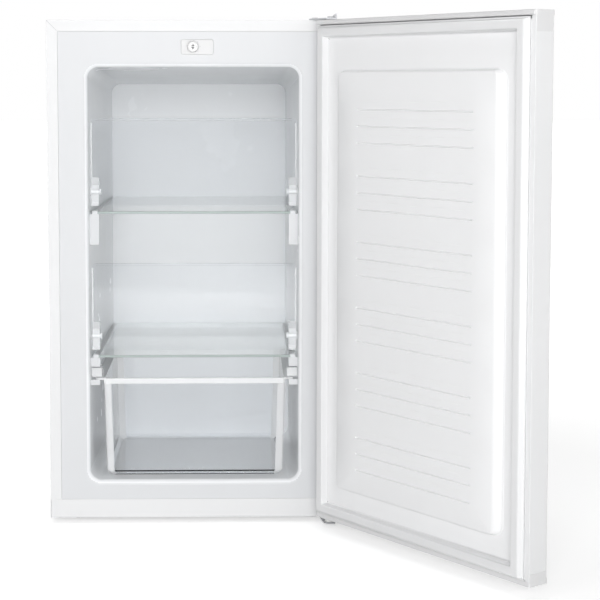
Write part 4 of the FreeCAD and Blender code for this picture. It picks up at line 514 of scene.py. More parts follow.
    def piece(self, bm: bmesh.types.BMesh, name: str, finish: Finish, *nodes: str,
              edge: Edge | None = None, body: str | None = None,
              second: Finish | None = None) -> None:
        """Turn a bmesh into a finished piece that rides on its body.

        Args:
            bm: The shape, freed here.
            name: Name of the piece.
            finish: Its finish.
            nodes: CAD nodes that it stands for.
            edge: How its edges are eased.
            body: The body it rides on, by default the sub-assembly's.
            second: Finish of the faces whose material index is 1.
        """
        edge = edge or Edge()
        mesh = bpy.data.meshes.new(name)
        bm.to_mesh(mesh)
        bm.free()
        obj = bpy.data.objects.new(name, mesh)
        bpy.context.scene.collection.objects.link(obj)
        mesh.materials.append(self.surfaces.of(finish))
        if second is not None:
            mesh.materials.append(self.surfaces.of(second))
        mesh.polygons.foreach_set("use_smooth", [True] * len(mesh.polygons))
        mesh.set_sharp_from_angle(angle=math.radians(edge.angle))
        if edge.width > 0:
            ease = obj.modifiers.new("eased_edges", "BEVEL")
            ease.width = edge.width
            ease.segments = edge.segments
            ease.limit_method = "ANGLE"
            ease.angle_limit = math.radians(edge.angle)
            ease.miter_outer = "MITER_ARC"
        even = obj.modifiers.new("even_shading", "WEIGHTED_NORMAL")
        even.keep_sharp = True
        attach(obj, body or self.body)
        if nodes:
            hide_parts(*nodes)
        log.info("%s: %d faces on %s", name, len(mesh.polygons), body or self.body)

    @staticmethod
    def mark(bm: bmesh.types.BMesh, place: tuple[float, float, float], lean: float,
             size: tuple[float, float, float], out: float = 0.0) -> None:
        """Add a thin mark that lies in a plane facing the front.

        Args:
            bm: The shape it joins.
            place: Its place, or the centre that it is turned about.
            lean: Its turn about Y in degrees.
            size: Its width, thickness and length.
            out: How far its middle stands from the centre along its length.
        """
        bmesh.ops.create_cube(bm, size=1.0, matrix=Matrix.Translation(place)
                              @ Matrix.Rotation(math.radians(lean), 4, "Y")
                              @ Matrix.Translation((0, 0, out)) @ Matrix.Diagonal((*size, 1)))

    def eased(self, name: str, finish: Finish, edge: Edge | None = None,
              body: str | None = None, bm: bmesh.types.BMesh | None = None,
              second: Finish | None = None) -> None:
        """Stand an eased copy of a CAD node in its place.

        Args:
            name: The CAD node.
            finish: Its finish.
            edge: How its edges are eased.
            body: The body it rides on.
            bm: The copy, where it was worked on first.
            second: Finish of the copy's faces whose material index is 1.
        """
        self.piece(bm or self.solid(name), f"{name}_dressed", finish, name, edge=edge, body=body,
                   second=second)

    def coat(self, finish: Finish, *names: str) -> None:
        """Give a finish to CAD nodes that keep their shape.

        Args:
            finish: The finish.
            names: The CAD nodes.
        """
        for name in names:
            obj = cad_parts[name]
            obj.data.materials.clear()
            obj.data.materials.append(self.surfaces.of(finish))
            log.info("%s: coated with %s", name, finish.name)


class Cabinet(Maker):
    """Steel shell, base rail, back and the foamed wall between them."""

    back: float = 0.4857
    mitre: tuple[float, float, float] = (0.2335, -0.00003, 0.836)
    mitre_size: tuple[float, float, float] = (0.0006, 0.00006, 0.024)

    def build(self) -> None:
        """Make the shell's pieces."""
        self.eased("outer_wrapper", POWDER_WHITE, Edge(0.0009, 3, 50))
        self.eased("front_rail", POWDER_WHITE, Edge(0.0006, 2, 50))
        self.eased("back_panel", BACK_SHEET, Edge(0.0003, 2, 40))
        self.back_screws()
        self.mitres()
        self.coat(ZINC_SHEET, "base_pan")
        self.coat(CUT_FOAM, "foam_insulation")
        self.coat(SCREW_ZINC, "foot_nuts")
        self.coat(COLD_PLATE, "evaporator_plate", "evaporator_tube")

    def back_screws(self) -> None:
        """Pan-head screws around the back panel."""
        bm = bmesh.new()
        spots = [(x * side, z) for side in (-1, 1) for x, z in (
            (0.2285, 0.245), (0.2285, 0.43), (0.2285, 0.63), (0.2285, 0.832), (0.08, 0.832))]
        for x, z in spots:
            turn = Matrix.Translation((x, self.back, z)) @ Matrix.Rotation(-math.pi / 2, 4, "X")
            self.stacked(bm, ((3.7, -0.2), (3.9, 0.2), (3.8, 0.9), (3.1, 1.6), (1.9, 1.95),
                              (1.5, 1.3), (0.5, 1.2)), 24, place=turn)
        self.piece(bm, "back_panel_screws", SCREW_ZINC, edge=Edge(0, 0, 40))

    def mitres(self) -> None:
        """Fine joint lines where the front flange is folded round its upper corners."""
        bm = bmesh.new()
        for side in (-1, 1):
            x, y, z = self.mitre
            self.mark(bm, (side * x, y, z), 45 * side, self.mitre_size)
        self.piece(bm, "corner_joints", SEAM_GREY, edge=Edge(0, 0, 40))


class Liner(Maker):
    """Vacuum-formed inner liner with its rolled mouth, ledges, gussets and rails."""

    # Front-facing faces up to this depth get the darker copy of the liner white, as painted shade.
    painted_shade_depth: float = 0.06
    wall_area: float = 0.05
    levels: Sequence[float] = (0.24, 0.262, 0.277, 0.5105, 0.5215)

    def build(self) -> None:
        """Make the liner, its side walls split level with the ledges and its front-facing faces
        darkened as painted shade.
        """
        bm = self.solid("inner_liner")
        for level in self.levels:
            walls = [face for face in bm.faces
                     if abs(face.normal.x) > 0.9 and face.calc_area() > self.wall_area]
            self.split(bm, walls, (0, 0, level), (0, 0, 1), 1e-5)
        # Front-facing faces near the mouth take the darker copy of the liner white: painted shade.
        for face in bm.faces:
            front = face.normal.y < -0.9 and face.calc_center_median().y < self.painted_shade_depth
            face.material_index = int(front)
        self.eased("inner_liner", LINER_WHITE, Edge(0.0012, 3, 38), None, bm, LINER_FRONT_PAINTED_SHADE)


class Compartments(Maker):
    """Glass shelves with their trims, and the clear drop-down flaps on their pivots."""

    ear_inner: float = 0.1575

    def build(self) -> None:
        """Make both shelves and both flaps."""
        for level in ("upper", "lower"):
            self.shelf(f"shelf_glass_{level}")
            self.eased(f"shelf_trims_{level}", TRIM_GREY, Edge(0.0003, 2, 50))
            self.flap(f"flap_{level}")
            self.eased(f"flap_pivots_{level}", CLEAR_BLOCK, Edge(0.0003, 2, 40))

    def shelf(self, name: str) -> None:
        """Make one pane with ground, duller edges."""
        bm = self.solid(name)
        for face in bm.faces:
            face.material_index = int(abs(face.normal.z) < 0.5)
        self.eased(name, SHELF_GLASS, Edge(0.0006, 2, 50), None, bm, SHELF_EDGE)

    def flap(self, name: str) -> None:
        """Make one flap, with frosted ears and turned edges at its sides."""
        bm = self.solid(name)
        for face in bm.faces:
            face.material_index = int(abs(face.calc_center_median().x) > self.ear_inner)
        self.eased(name, CLEAR_PLASTIC, Edge(0.0007, 2, 40), name, bm, FROSTED_EAR)


class Drawer(Maker):
    """Clear drawer with frosted corners and rim, and the blocks that guide it."""

    body = "drawer"
    brow: float = 0.2335
    corner: float = 0.3

    def build(self) -> None:
        """Make the bin and its guides."""
        bm = self.solid("drawer_bin")
        for face in bm.faces:
            corner = min(abs(face.normal.x), abs(face.normal.y)) > self.corner
            brow = face.calc_center_median().z > self.brow
            face.material_index = int(corner or brow)
        self.eased("drawer_bin", CLEAR_PLASTIC, Edge(0.0009, 2, 20), None, bm, FROSTED_EAR)
        self.eased("drawer_guides", CLEAR_BLOCK, Edge(0.0004, 2, 40), body="cabinet")


class Thermostat(Maker):
    """Plate, turning dial and the switch behind them."""

    body = "thermostat_dial"
    height: float = 0.801
    profile: Sequence[tuple[float, float]] = (
        (8.3, 1.3), (8.9, 1.6), (8.9, 4.4), (8.4, 5.1), (7.4, 5.4), (7.1, 5.1), (6.6, 5.0),
        (3.0, 5.0))
    marks: int = 7
    mark_pitch: float = 45.0

    def build(self) -> None:
        """Make the plate and the dial."""
        self.eased("thermostat_bezel", CAP_WHITE, Edge(0.0004, 2, 40), body="cabinet")
        self.dial()
        self.scale()
        self.coat(SWITCH_CASE, "thermostat_body")

    def dial(self) -> None:
        """Fluted dial with a raised finger bar."""
        bm = bmesh.new()
        turn = Matrix.Translation((0, 0, self.height)) @ Matrix.Rotation(math.pi / 2, 4, "X")
        self.stacked(bm, self.profile, 48, flutes=16, place=turn)
        self.block(bm, (-0.0058, -0.0057, self.height - 0.0011),
                   (0.0058, -0.0046, self.height + 0.0011), 0.0004)
        self.piece(bm, "thermostat_dial", KNOB_WHITE, "thermostat_knob", edge=Edge(0, 0, 38))

    def scale(self) -> None:
        """Printed marks around the dial, longer towards the coldest setting."""
        bm = bmesh.new()
        for step in range(self.marks):
            length = 0.0006 + 0.00028 * step
            lean = self.mark_pitch * (step - (self.marks - 1) / 2)
            self.mark(bm, (0, -0.00352, self.height), lean, (0.00045, 0.00006, length),
                      0.0109 + length / 2)
        self.piece(bm, "thermostat_scale", SCALE_GREY, edge=Edge(0, 0, 40), body="cabinet")


@dataclass(frozen=True)
class Span:
    """A rectangle in the plane of a panel, in millimetres."""

    left: float
    right: float
    low: float
    high: float

    def holds(self, x: float, z: float) -> bool:
        """Tell whether a point lies inside."""
        return self.left < x < self.right and self.low < z < self.high

    def shrunk(self, by: float) -> "Span":
        """Return the rectangle drawn in by one distance all round."""
        return Span(self.left + by, self.right - by, self.low + by, self.high - by)


class DoorForm(Maker):
    """Shapes made in the closed door's own frame, in millimetres from the hinge pin.

    X runs from the free edge (negative) to the hinge, +Y towards the cabinet, Z upwards.
    """

    body = "door"
    pin: tuple[float, float] = (226.5, -28.0)
    opened: float = 126.2
    inner: float = 16.0
    edge: Span = Span(-469.0, 16.0, 16.5, 844.0)

    def hung(self, bm: bmesh.types.BMesh) -> bmesh.types.BMesh:
        """Swing a shape to the open rest pose and bring it to metres."""
        turn = (Matrix.Scale(MM, 4) @ Matrix.Translation((*self.pin, 0))
                @ Matrix.Rotation(math.radians(self.opened), 4, "Z"))
        bmesh.ops.transform(bm, matrix=turn, verts=bm.verts)
        return bm

    @staticmethod
    def plate(bm: bmesh.types.BMesh, span: Span, level: float, corner: float = 0.0,
              steps: int = 6) -> bmesh.types.BMFace:
        """Lay a rounded rectangle that faces the cabinet.

        Args:
            bm: The shape it joins.
            span: Its outline.
            level: Its Y.
            corner: Radius of its corners.
            steps: Segments in each corner.

        Returns:
            The new face.
        """
        before = set(bm.faces)
        size = Matrix.Diagonal((span.right - span.left, span.high - span.low, 1, 1))
        place = (Matrix.Translation(((span.left + span.right) / 2, level,
                                     (span.low + span.high) / 2))
                 @ Matrix.Rotation(-math.pi / 2, 4, "X") @ size)
        made = bmesh.ops.create_grid(bm, x_segments=1, y_segments=1, size=0.5, matrix=place)
        if corner > 0:
            bmesh.ops.bevel(bm, geom=made["verts"], offset=corner, offset_type="OFFSET",
                            affect="VERTICES", segments=steps, profile=0.5, material=-1)
        return next(face for face in bm.faces if face not in before)

    @staticmethod
    def drawn(bm: bmesh.types.BMesh, faces: Sequence[bmesh.types.BMFace],
              steps: Iterable[tuple[float, float]]) -> None:
        """Draw faces in and up, step by step.

        Args:
            bm: The shape.
            faces: The faces.
            steps: How far in and how far up each step goes.
        """
        for inward, upward in steps:
            bmesh.ops.inset_region(bm, faces=faces, thickness=inward, depth=upward,
                                   use_even_offset=True, use_boundary=True)


@dataclass
class Plateau:
    """Raised centre of the inner panel and the grooves formed in it, in millimetres."""

    foot: Span = Span(-416.0, -37.0, 77.5, 761.5)
    rise: float = 9.0
    side_slope: float = 15.5
    end_slope: float = 5.0
    corner: float = 20.0
    steps: int = 6
    groove_half: float = 131.0
    groove_mid: float = -226.5
    groove_top: float = 699.0
    groove_pitch: float = 26.5
    group_pitch: float = 105.5
    groups: int = 6
    groove_width: float = 3.8
    groove_depth: float = 2.3
    dash_width: float = 2.6
    dash_depth: float = 0.8
    dashes: Sequence[tuple[float, float]] = ((-112, -84), (-70, -40), (-22, 8), (30, 62),
                                             (80, 108))

    def grooves(self) -> list[Span]:
        """List the long grooves."""
        return [self._row(level, -self.groove_half, self.groove_half, self.groove_width)
                for level in self._levels(0.0, 3)]

    def short_dashes(self) -> list[Span]:
        """List the short dashes half way between the grooves."""
        return [self._row(level, left, right, self.dash_width)
                for level in self._levels(self.groove_pitch / 2, 3) for left, right in self.dashes]

    def _levels(self, shift: float, rows: int) -> list[float]:
        """Heights of a row in every group."""
        return [self.groove_top + shift - self.group_pitch * group - self.groove_pitch * row
                for group in range(self.groups) for row in range(rows)]

    def _row(self, level: float, left: float, right: float, width: float) -> Span:
        """One groove as a rectangle."""
        return Span(self.groove_mid + left, self.groove_mid + right, level - width / 2,
                    level + width / 2)


class DoorPanel(DoorForm):
    """Vacuum-formed inner panel: flange, plateau with soft slopes, grooves, a blank pad."""

    flange: Span = Span(-460.9, 7.9, 24.7, 831.2)
    crease: Sequence[tuple[float, float]] = ((0.5, -0.35), (0.35, -0.6), (0.5, 0.05))
    pad_span: Span = Span(-384.0, -323.0, 725.6, 744.8)
    pad_steps: Sequence[tuple[float, float]] = ((0.4, 0.6), (0.5, 0.15), (1.2, 0.0),
                                                (0.5, -0.3), (0.4, -0.2))

    def build(self) -> None:
        """Make the panel."""
        form = Plateau()
        bm = bmesh.new()
        flange = self.plate(bm, self.flange, self.inner, 2.5)
        outer = list(flange.edges)
        bm.faces.remove(flange)
        spread = sum(width for width, _ in self.crease)
        foot = self.plate(bm, form.foot.shrunk(-spread), self.inner, form.corner + spread, 8)
        inner = list(foot.edges)
        crown = foot    # every step keeps this face as its middle
        self.drawn(bm, [crown], self.crease)
        sunk = sum(depth for _, depth in self.crease)
        spare = (form.side_slope - form.end_slope) / form.steps
        middle = (form.foot.low + form.foot.high) / 2
        done_in = done_up = 0.0
        for step in range(1, form.steps + 1):
            share = step / form.steps
            inward = form.side_slope * share
            upward = (form.rise - sunk) * (0.5 - 0.5 * math.cos(math.pi * share))
            self.drawn(bm, [crown], [(inward - done_in, upward - done_up)])
            for vert in crown.verts:
                vert.co.z += spare if vert.co.z > middle else -spare
            done_in, done_up = inward, upward
        bmesh.ops.bridge_loops(bm, edges=outer + inner)
        level = self.inner + form.rise
        self._cut(bm, level, form.grooves() + form.short_dashes())
        self._press(bm, level, form.grooves(), form.groove_width * 0.3, -form.groove_depth)
        self._press(bm, level, form.short_dashes(), form.dash_width * 0.35, -form.dash_depth)
        bmesh.ops.recalc_face_normals(bm, faces=bm.faces)
        bmesh.ops.solidify(bm, geom=list(bm.faces), thickness=1.0)
        self.hung(bm)
        self.piece(bm, "door_inner_panel", DOOR_WHITE, "door_liner", edge=Edge(0, 0, 60))
        self.pad()

    @staticmethod
    def _flat(bm: bmesh.types.BMesh, level: float) -> list[bmesh.types.BMFace]:
        """List the faces of the crown."""
        return [face for face in bm.faces
                if all(abs(vert.co.y - level) < 1e-4 for vert in face.verts)]

    def _cut(self, bm: bmesh.types.BMesh, level: float, spans: Sequence[Span]) -> None:
        """Score the crown along the edges of the grooves.

        Args:
            bm: The panel.
            level: The crown's Y.
            spans: The grooves.
        """
        across = sorted({x for span in spans for x in (span.left, span.right)})
        upward = sorted({z for span in spans for z in (span.low, span.high)})
        for point, normal in ([((x, 0, 0), (1, 0, 0)) for x in across]
                              + [((0, 0, z), (0, 0, 1)) for z in upward]):
            self.split(bm, self._flat(bm, level), point, normal, 1e-4)

    def _press(self, bm: bmesh.types.BMesh, level: float, spans: Sequence[Span],
               slope: float, depth: float) -> None:
        """Press grooves into the crown.

        Args:
            bm: The panel.
            level: The crown's Y.
            spans: The grooves.
            slope: Width of a groove's side.
            depth: How far it goes in, negative.
        """
        flat = self._flat(bm, level)
        for span in spans:
            middle = [face for face in flat
                      if span.holds(face.calc_center_median().x, face.calc_center_median().z)]
            self.drawn(bm, middle, [(slope, depth)])

    def pad(self) -> None:
        """Blank embossed pad near the top of the free edge."""
        bm = bmesh.new()
        face = self.plate(bm, self.pad_span, self.inner + 8.9, 3.0, 5)
        self.drawn(bm, [face], self.pad_steps)
        self.hung(bm)
        self.piece(bm, "door_blank_pad", DOOR_WHITE, edge=Edge(0, 0, 50))


class DoorSeal(DoorForm):
    """Magnetic seal: outer lip, folds, a flat crown over the magnets and the inner slope."""

    start: float = 9.5
    steps: Sequence[tuple[float, float]] = (
        (0.05, 0.7), (0.25, 0.35), (1.5, 0.2), (0.5, 0.7), (0.45, 1.5), (0.35, 1.9), (0.3, 2.0),
        (0.4, 1.8), (0.6, 1.2), (0.8, 0.6), (1.0, 0.25), (1.2, 0.05), (0.2, -0.15), (0.2, 0.15),
        (3.0, 0.0), (0.2, -0.15), (0.2, 0.15), (5.5, -0.05), (0.6, -0.35), (0.5, -0.9),
        (0.5, -1.7), (0.6, -2.5), (0.6, -2.5), (0.5, -1.7), (0.5, -0.9), (0.7, -0.4), (0.8, -0.2))
    slit: float = 30.6

    def build(self) -> None:
        """Make the seal."""
        bm = bmesh.new()
        face = self.plate(bm, self.edge.shrunk(self.start), self.inner + 0.02)
        outer = list(face.edges)
        self.drawn(bm, [face], self.steps)
        inner = list(face.edges)
        bm.faces.remove(face)
        bmesh.ops.bridge_loops(bm, edges=outer + inner)
        bmesh.ops.recalc_face_normals(bm, faces=bm.faces)
        self.hung(bm)
        self.piece(bm, "door_seal", SEAL_WHITE, "door_gasket", edge=Edge(0, 0, 70))
        self.painted_slit_shades()

    def painted_slit_shades(self) -> None:
        """Dark marks of painted shade in the short slits where the seal's welded corners meet the
        panel.
        """
        bm = bmesh.new()
        inside = self.edge.shrunk(self.slit)
        for x, z, lean in ((inside.left, inside.low, 45), (inside.left, inside.high, -45),
                           (inside.right, inside.low, -45), (inside.right, inside.high, 45)):
            self.mark(bm, (x, self.inner + 0.35, z), lean, (0.8, 0.5, 4.2))
        self.hung(bm)
        self.piece(bm, "door_seal_slit_shades", SLIT_PAINTED_SHADE, edge=Edge(0.0001, 1, 40))


class CapBead(DoorForm):
    """Rounded bead along the top cap, proud of the panel, with the groove below it."""

    span: Span = Span(-467.8, 15.4, 836.4, 843.5)
    steps: Sequence[tuple[float, float]] = ((0.05, 1.1), (0.25, 0.6), (0.5, 0.45), (0.8, 0.2))

    def build(self) -> None:
        """Make the bead."""
        bm = bmesh.new()
        face = self.plate(bm, self.span, self.inner - 0.3, 1.6, 3)
        back = list(face.edges)
        self.drawn(bm, [face], self.steps)
        bmesh.ops.edgenet_fill(bm, edges=back)
        bmesh.ops.recalc_face_normals(bm, faces=bm.faces)
        self.hung(bm)
        self.piece(bm, "door_cap_bead", CAP_WHITE, edge=Edge(0, 0, 60))


class Door(Maker):
    """Folded skin, end caps and what is inside the door."""

    body = "door"

    def build(self) -> None:
        """Make the door's pieces."""
        DoorPanel(self.surfaces).build()
        DoorSeal(self.surfaces).build()
        CapBead(self.surfaces).build()
        self.eased("door_skin", POWDER_WHITE, Edge(0.0005, 2, 50))
        for end in ("top", "bottom"):
            self.eased(f"door_cap_{end}", CAP_WHITE, Edge(0.0008, 3, 50))
        self.coat(CUT_FOAM, "door_foam")
        self.coat(MAGNET_DARK, "gasket_magnets")
        for end in ("top", "bottom"):
            self.eased(f"hinge_bush_{end}", BUSH_WHITE)


class Hinges(Maker):
    """Top and bottom hinge plates with their screws and the spacer."""

    def build(self) -> None:
        """Make the plates and screws."""
        for end in ("top", "bottom"):
            self.eased(f"{end}_hinge_bracket", HINGE_STEEL, Edge(0.0004, 2, 40))
        self.eased("hinge_spacer", BUSH_WHITE)
        for end in ("top", "bottom"):
            self.eased(f"{end}_hinge_screws", SCREW_ZINC, Edge(0.0005, 3, 40))


class Feet(Maker):
    """Two turning front feet and two fixed rear ones."""

    place: tuple[float, float, float] = (0.2, 0.038, 0.462)
    front: Sequence[tuple[float, float]] = (
        (6.9, 0.0), (7.9, 0.4), (8.6, 1.3), (8.6, 5.0), (8.1, 5.8), (7.2, 6.0), (5.6, 6.2),
        (5.5, 8.7), (4.0, 8.8), (4.0, 31.4), (3.4, 32.0))
    rear: Sequence[tuple[float, float]] = (
        (9.6, 0.0), (11.2, 0.5), (12.0, 1.6), (12.0, 11.6), (11.4, 12.6), (10.6, 12.95),
        (4.0, 12.95), (4.0, 18.5), (3.6, 18.95))

    def build(self) -> None:
        """Make the feet."""
        across, front, rear = self.place
        for word, side in (("left", -1), ("right", 1)):
            bm = bmesh.new()
            self.stacked(bm, self.front, 48, flutes=12,
                         place=Matrix.Translation((across * side, front, 0)))
            self.piece(bm, f"front_foot_{word}_turned", FOOT_GREY, f"front_foot_{word}",
                       edge=Edge(0, 0, 40), body=f"foot_{word}")
        bm = bmesh.new()
        for side in (-1, 1):
            self.stacked(bm, self.rear, 40,
                         place=Matrix.Translation((across * side, rear, 0)))
        self.piece(bm, "rear_glides", FOOT_GREY, "rear_feet", edge=Edge(0, 0, 40))


@dataclass(frozen=True)
class PotForm:
    """Sizes of the compressor and its mounts, in millimetres."""

    x: float = -61.5
    y: float = 433.0
    low: float = 32.0
    half_flat: float = 33.0
    profile: Sequence[tuple[float, float]] = (
        (37.0, 0.0), (44.0, 2.0), (49.5, 7.0), (53.6, 14.0), (55.4, 22.0), (56.0, 32.0),
        (56.0, 51.6), (58.0, 52.2), (58.0, 57.4), (56.0, 58.0), (55.8, 92.0), (54.6, 108.0),
        (51.4, 122.0), (46.0, 133.0), (38.0, 141.4), (27.0, 146.2), (12.0, 148.0))
    plate_low: float = 27.5
    plate: float = 2.5
    mount: tuple[float, float] = (76.0, 46.0)
    strap: float = 13.0
    bridge: float = 24.0
    saddle: tuple[float, float, float] = (60.0, 28.0, 6.0)
    fence: tuple[float, float, float] = (82.0, 92.0, 20.0)
    fence_low: float = 0.082
    fence_high: float = 0.128
    rubber: Sequence[tuple[float, float]] = (
        (8.6, 14.5), (9.9, 15.4), (9.9, 18.0), (8.8, 20.0), (9.2, 23.5), (8.4, 27.3),
        (6.7, 27.6), (6.7, 30.1), (8.3, 30.3), (8.4, 32.4), (7.4, 33.1))
    bolt: Sequence[tuple[int, Sequence[tuple[float, float]]]] = (
        (32, ((7.2, 33.1), (7.4, 33.3), (7.4, 34.1), (7.2, 34.3))),
        (6, ((5.7, 34.3), (5.77, 34.6), (5.77, 37.6), (5.3, 38.3))),
        (16, ((2.3, 8.0), (2.7, 8.5), (2.7, 13.0))),
        (6, ((5.3, 8.5), (5.77, 8.9), (5.77, 12.6), (5.3, 13.0))))


@dataclass(frozen=True)
class Grille:
    """Sizes of the condenser, in millimetres."""

    y: float = 493.7
    reach: float = 172.0
    top: float = 762.0
    low: float = 262.0
    passes: int = 9
    tube: float = 2.4
    turn: float = 27.0
    wires: int = 15
    wire_reach: float = 152.0
    wire: float = 0.8
    over: float = 14.0
    lead: float = 22.0
    side: float = 34.0
    barrel: Sequence[tuple[float, float]] = (
        (1.6, 0), (2.9, 1), (3.1, 9), (4.0, 12), (5.6, 15), (6.2, 18), (6.2, 22), (5.9, 23),
        (6.2, 24), (6.2, 68), (5.9, 69), (6.2, 70), (6.2, 73), (5.4, 76), (3.8, 79),
        (3.1, 82), (3.1, 89), (2.4, 90))


class CoolingUnit(Maker):
    """Compressor on its tray, the condenser on the back and the pipes between them."""

    pot = PotForm()
    grille = Grille()

    def build(self) -> None:
        """Make the unit's pieces."""
        self.eased("compressor_tray", ZINC_SHEET, Edge(0.0004, 2, 40))
        self.compressor()
        self.mounts()
        self.eased("relay_box", RELAY_BLACK, Edge(0.0008, 2, 40))
        self.condenser()
        self.eased("condenser_clips", CLIP_BLACK)
        self.drier()
        self.pipes()

    def compressor(self) -> None:
        """Drawn pot with its weld seam, collar, straps and relay fence."""
        form = self.pot
        bm = bmesh.new()
        centre = Matrix.Translation((form.x * MM, form.y * MM, form.low * MM))
        self.stacked(bm, form.profile, 64, form.half_flat * MM, place=centre)
        low, high = form.plate_low * MM, (form.plate_low + form.plate) * MM
        wide, deep = form.mount
        for side in (-1, 1):
            middle = form.x + wide * side
            self.block(bm, ((middle - form.strap) * MM, (form.y - deep - form.strap) * MM, low),
                       ((middle + form.strap) * MM, (form.y + deep + form.strap) * MM, high),
                       0.0009)
        self.block(bm, ((form.x - wide) * MM, (form.y - form.bridge) * MM, low),
                   ((form.x + wide) * MM, (form.y + form.bridge) * MM, high), 0.0009)
        wide, deep, tall = form.saddle
        self.block(bm, ((form.x - wide) * MM, (form.y - deep) * MM, high - 0.0005),
                   ((form.x + wide) * MM, (form.y + deep) * MM, (form.low + tall) * MM), 0.002)
        near, far, deep = form.fence
        self.block(bm, ((form.x + near) * MM, (form.y - deep) * MM, form.fence_low),
                   ((form.x + far) * MM, (form.y + deep) * MM, form.fence_high), 0.0015)
        self.piece(bm, "compressor_pot", POT_BLACK, "compressor", edge=Edge(0, 0, 32))

    def mounts(self) -> None:
        """Rubber mounts and the bolts through them."""
        form = self.pot
        rubber, bolts = bmesh.new(), bmesh.new()
        for across in (-1, 1):
            for along in (-1, 1):
                place = Matrix.Translation(((form.x + form.mount[0] * across) * MM,
                                            (form.y + form.mount[1] * along) * MM, 0))
                self.stacked(rubber, form.rubber, 32, place=place)
                for corners, profile in form.bolt:
                    self.stacked(bolts, profile, corners, place=place)
        self.piece(rubber, "compressor_mounts", MOUNT_RUBBER, "compressor_grommets",
                   edge=Edge(0, 0, 40))
        self.piece(bolts, "compressor_mount_bolts", SCREW_ZINC, "compressor_bolts",
                   edge=Edge(0, 0, 30))

    def condenser(self) -> None:
        """Serpentine tube and the wires welded across both of its faces."""
        form = self.grille
        pitch = (form.top - form.low) / (form.passes - 1)
        points = [(-form.reach - form.lead, form.y, form.top)]
        for run in range(form.passes - 1):
            side = 1 if run % 2 == 0 else -1
            for level in (form.top - pitch * run, form.top - pitch * (run + 1)):
                points.append((form.reach * side, form.y, level))
        points += [(form.reach + form.side, form.y, level) for level in (form.low, DRIER[1])]
        self.tube("condenser_coil", "condenser_tube", GRILLE_BLACK, [points], form.tube, form.turn)
        step = form.wire_reach * 2 / (form.wires - 1)
        gap = form.tube + form.wire - 0.15
        self.tube("condenser_rods", "condenser_wires", GRILLE_BLACK,
                  [[(-form.wire_reach + step * n, form.y + gap * side, level)
                    for level in (form.low - form.over, form.top + form.over)]
                   for n in range(form.wires) for side in (-1, 1)], form.wire)

    def drier(self) -> None:
        """Filter drier: barrel with spun necks."""
        form = self.grille
        bm = bmesh.new()
        place = Matrix.Translation(((form.reach + form.side) * MM, form.y * MM, DRIER[0] * MM))
        self.stacked(bm, form.barrel, 32, place=place)
        self.piece(bm, "filter_drier_barrel", COPPER, "filter_drier", edge=Edge(0, 0, 50))

    def pipes(self) -> None:
        """Discharge, suction and process pipes and the capillary."""
        form, pot = self.grille, self.pot
        left = pot.x - 89.0
        side = form.reach + form.lead
        self.tube("discharge_line", "discharge_pipe", COPPER,
                  [[(left + 4.6, pot.y + 16, 106), (left - 34, pot.y + 16, 106),
                    (-side - 20, form.y, 138), (-side - 20, form.y, form.top),
                    (-side, form.y, form.top)]], form.tube, 11)
        self.tube("suction_line", "suction_pipe", COPPER,
                  [[(left + 5.6, pot.y - 20, 110), (left - 30, pot.y - 20, 110),
                    (left - 52, pot.y - 10, 148), (left - 52, pot.y - 10, BAY_TOP)]], 3.2, 14)
        self.tube("process_stub", "process_tube", COPPER,
                  [[(left, pot.y, 72), (left - 26, pot.y, 72), (left - 40, pot.y + 26, 94)]],
                  2.8, 11)
        x, low = form.reach + form.side, DRIER[0]
        self.tube("capillary_line", "capillary", COPPER,
                  [[(x, form.y, low), (x, form.y, low - 20), (x - 30, form.y - 16, low - 26),
                    (x - 44, form.y - 34, low + 20), (x - 44, form.y - 34, BAY_TOP)]], 1.0, 9)


# ------------------------------------------------------------------------------------------
# Studio
# ------------------------------------------------------------------------------------------
@dataclass(frozen=True)
class Lamp:
    """One soft lamp; only a mirrored one shows in polished surfaces."""

    name: str
    place: tuple[float, float, float]
    aim: tuple[float, float, float]
    size: float
    watts: float
    mirrored: bool = False

    def hang(self) -> None:
        """Put the lamp in the scene."""
        data = bpy.data.lights.new(self.name, "AREA")
        data.shape = "SQUARE"
        data.size = self.size
        data.energy = self.watts
        lamp = bpy.data.objects.new(self.name, data)
        lamp.location = self.place
        lamp.visible_glossy = self.mirrored
        lamp.visible_transmission = False
        beam = Vector(self.aim) - Vector(self.place)
        lamp.rotation_euler = beam.to_track_quat("-Z", "Y").to_euler()
        bpy.context.scene.collection.objects.link(lamp)


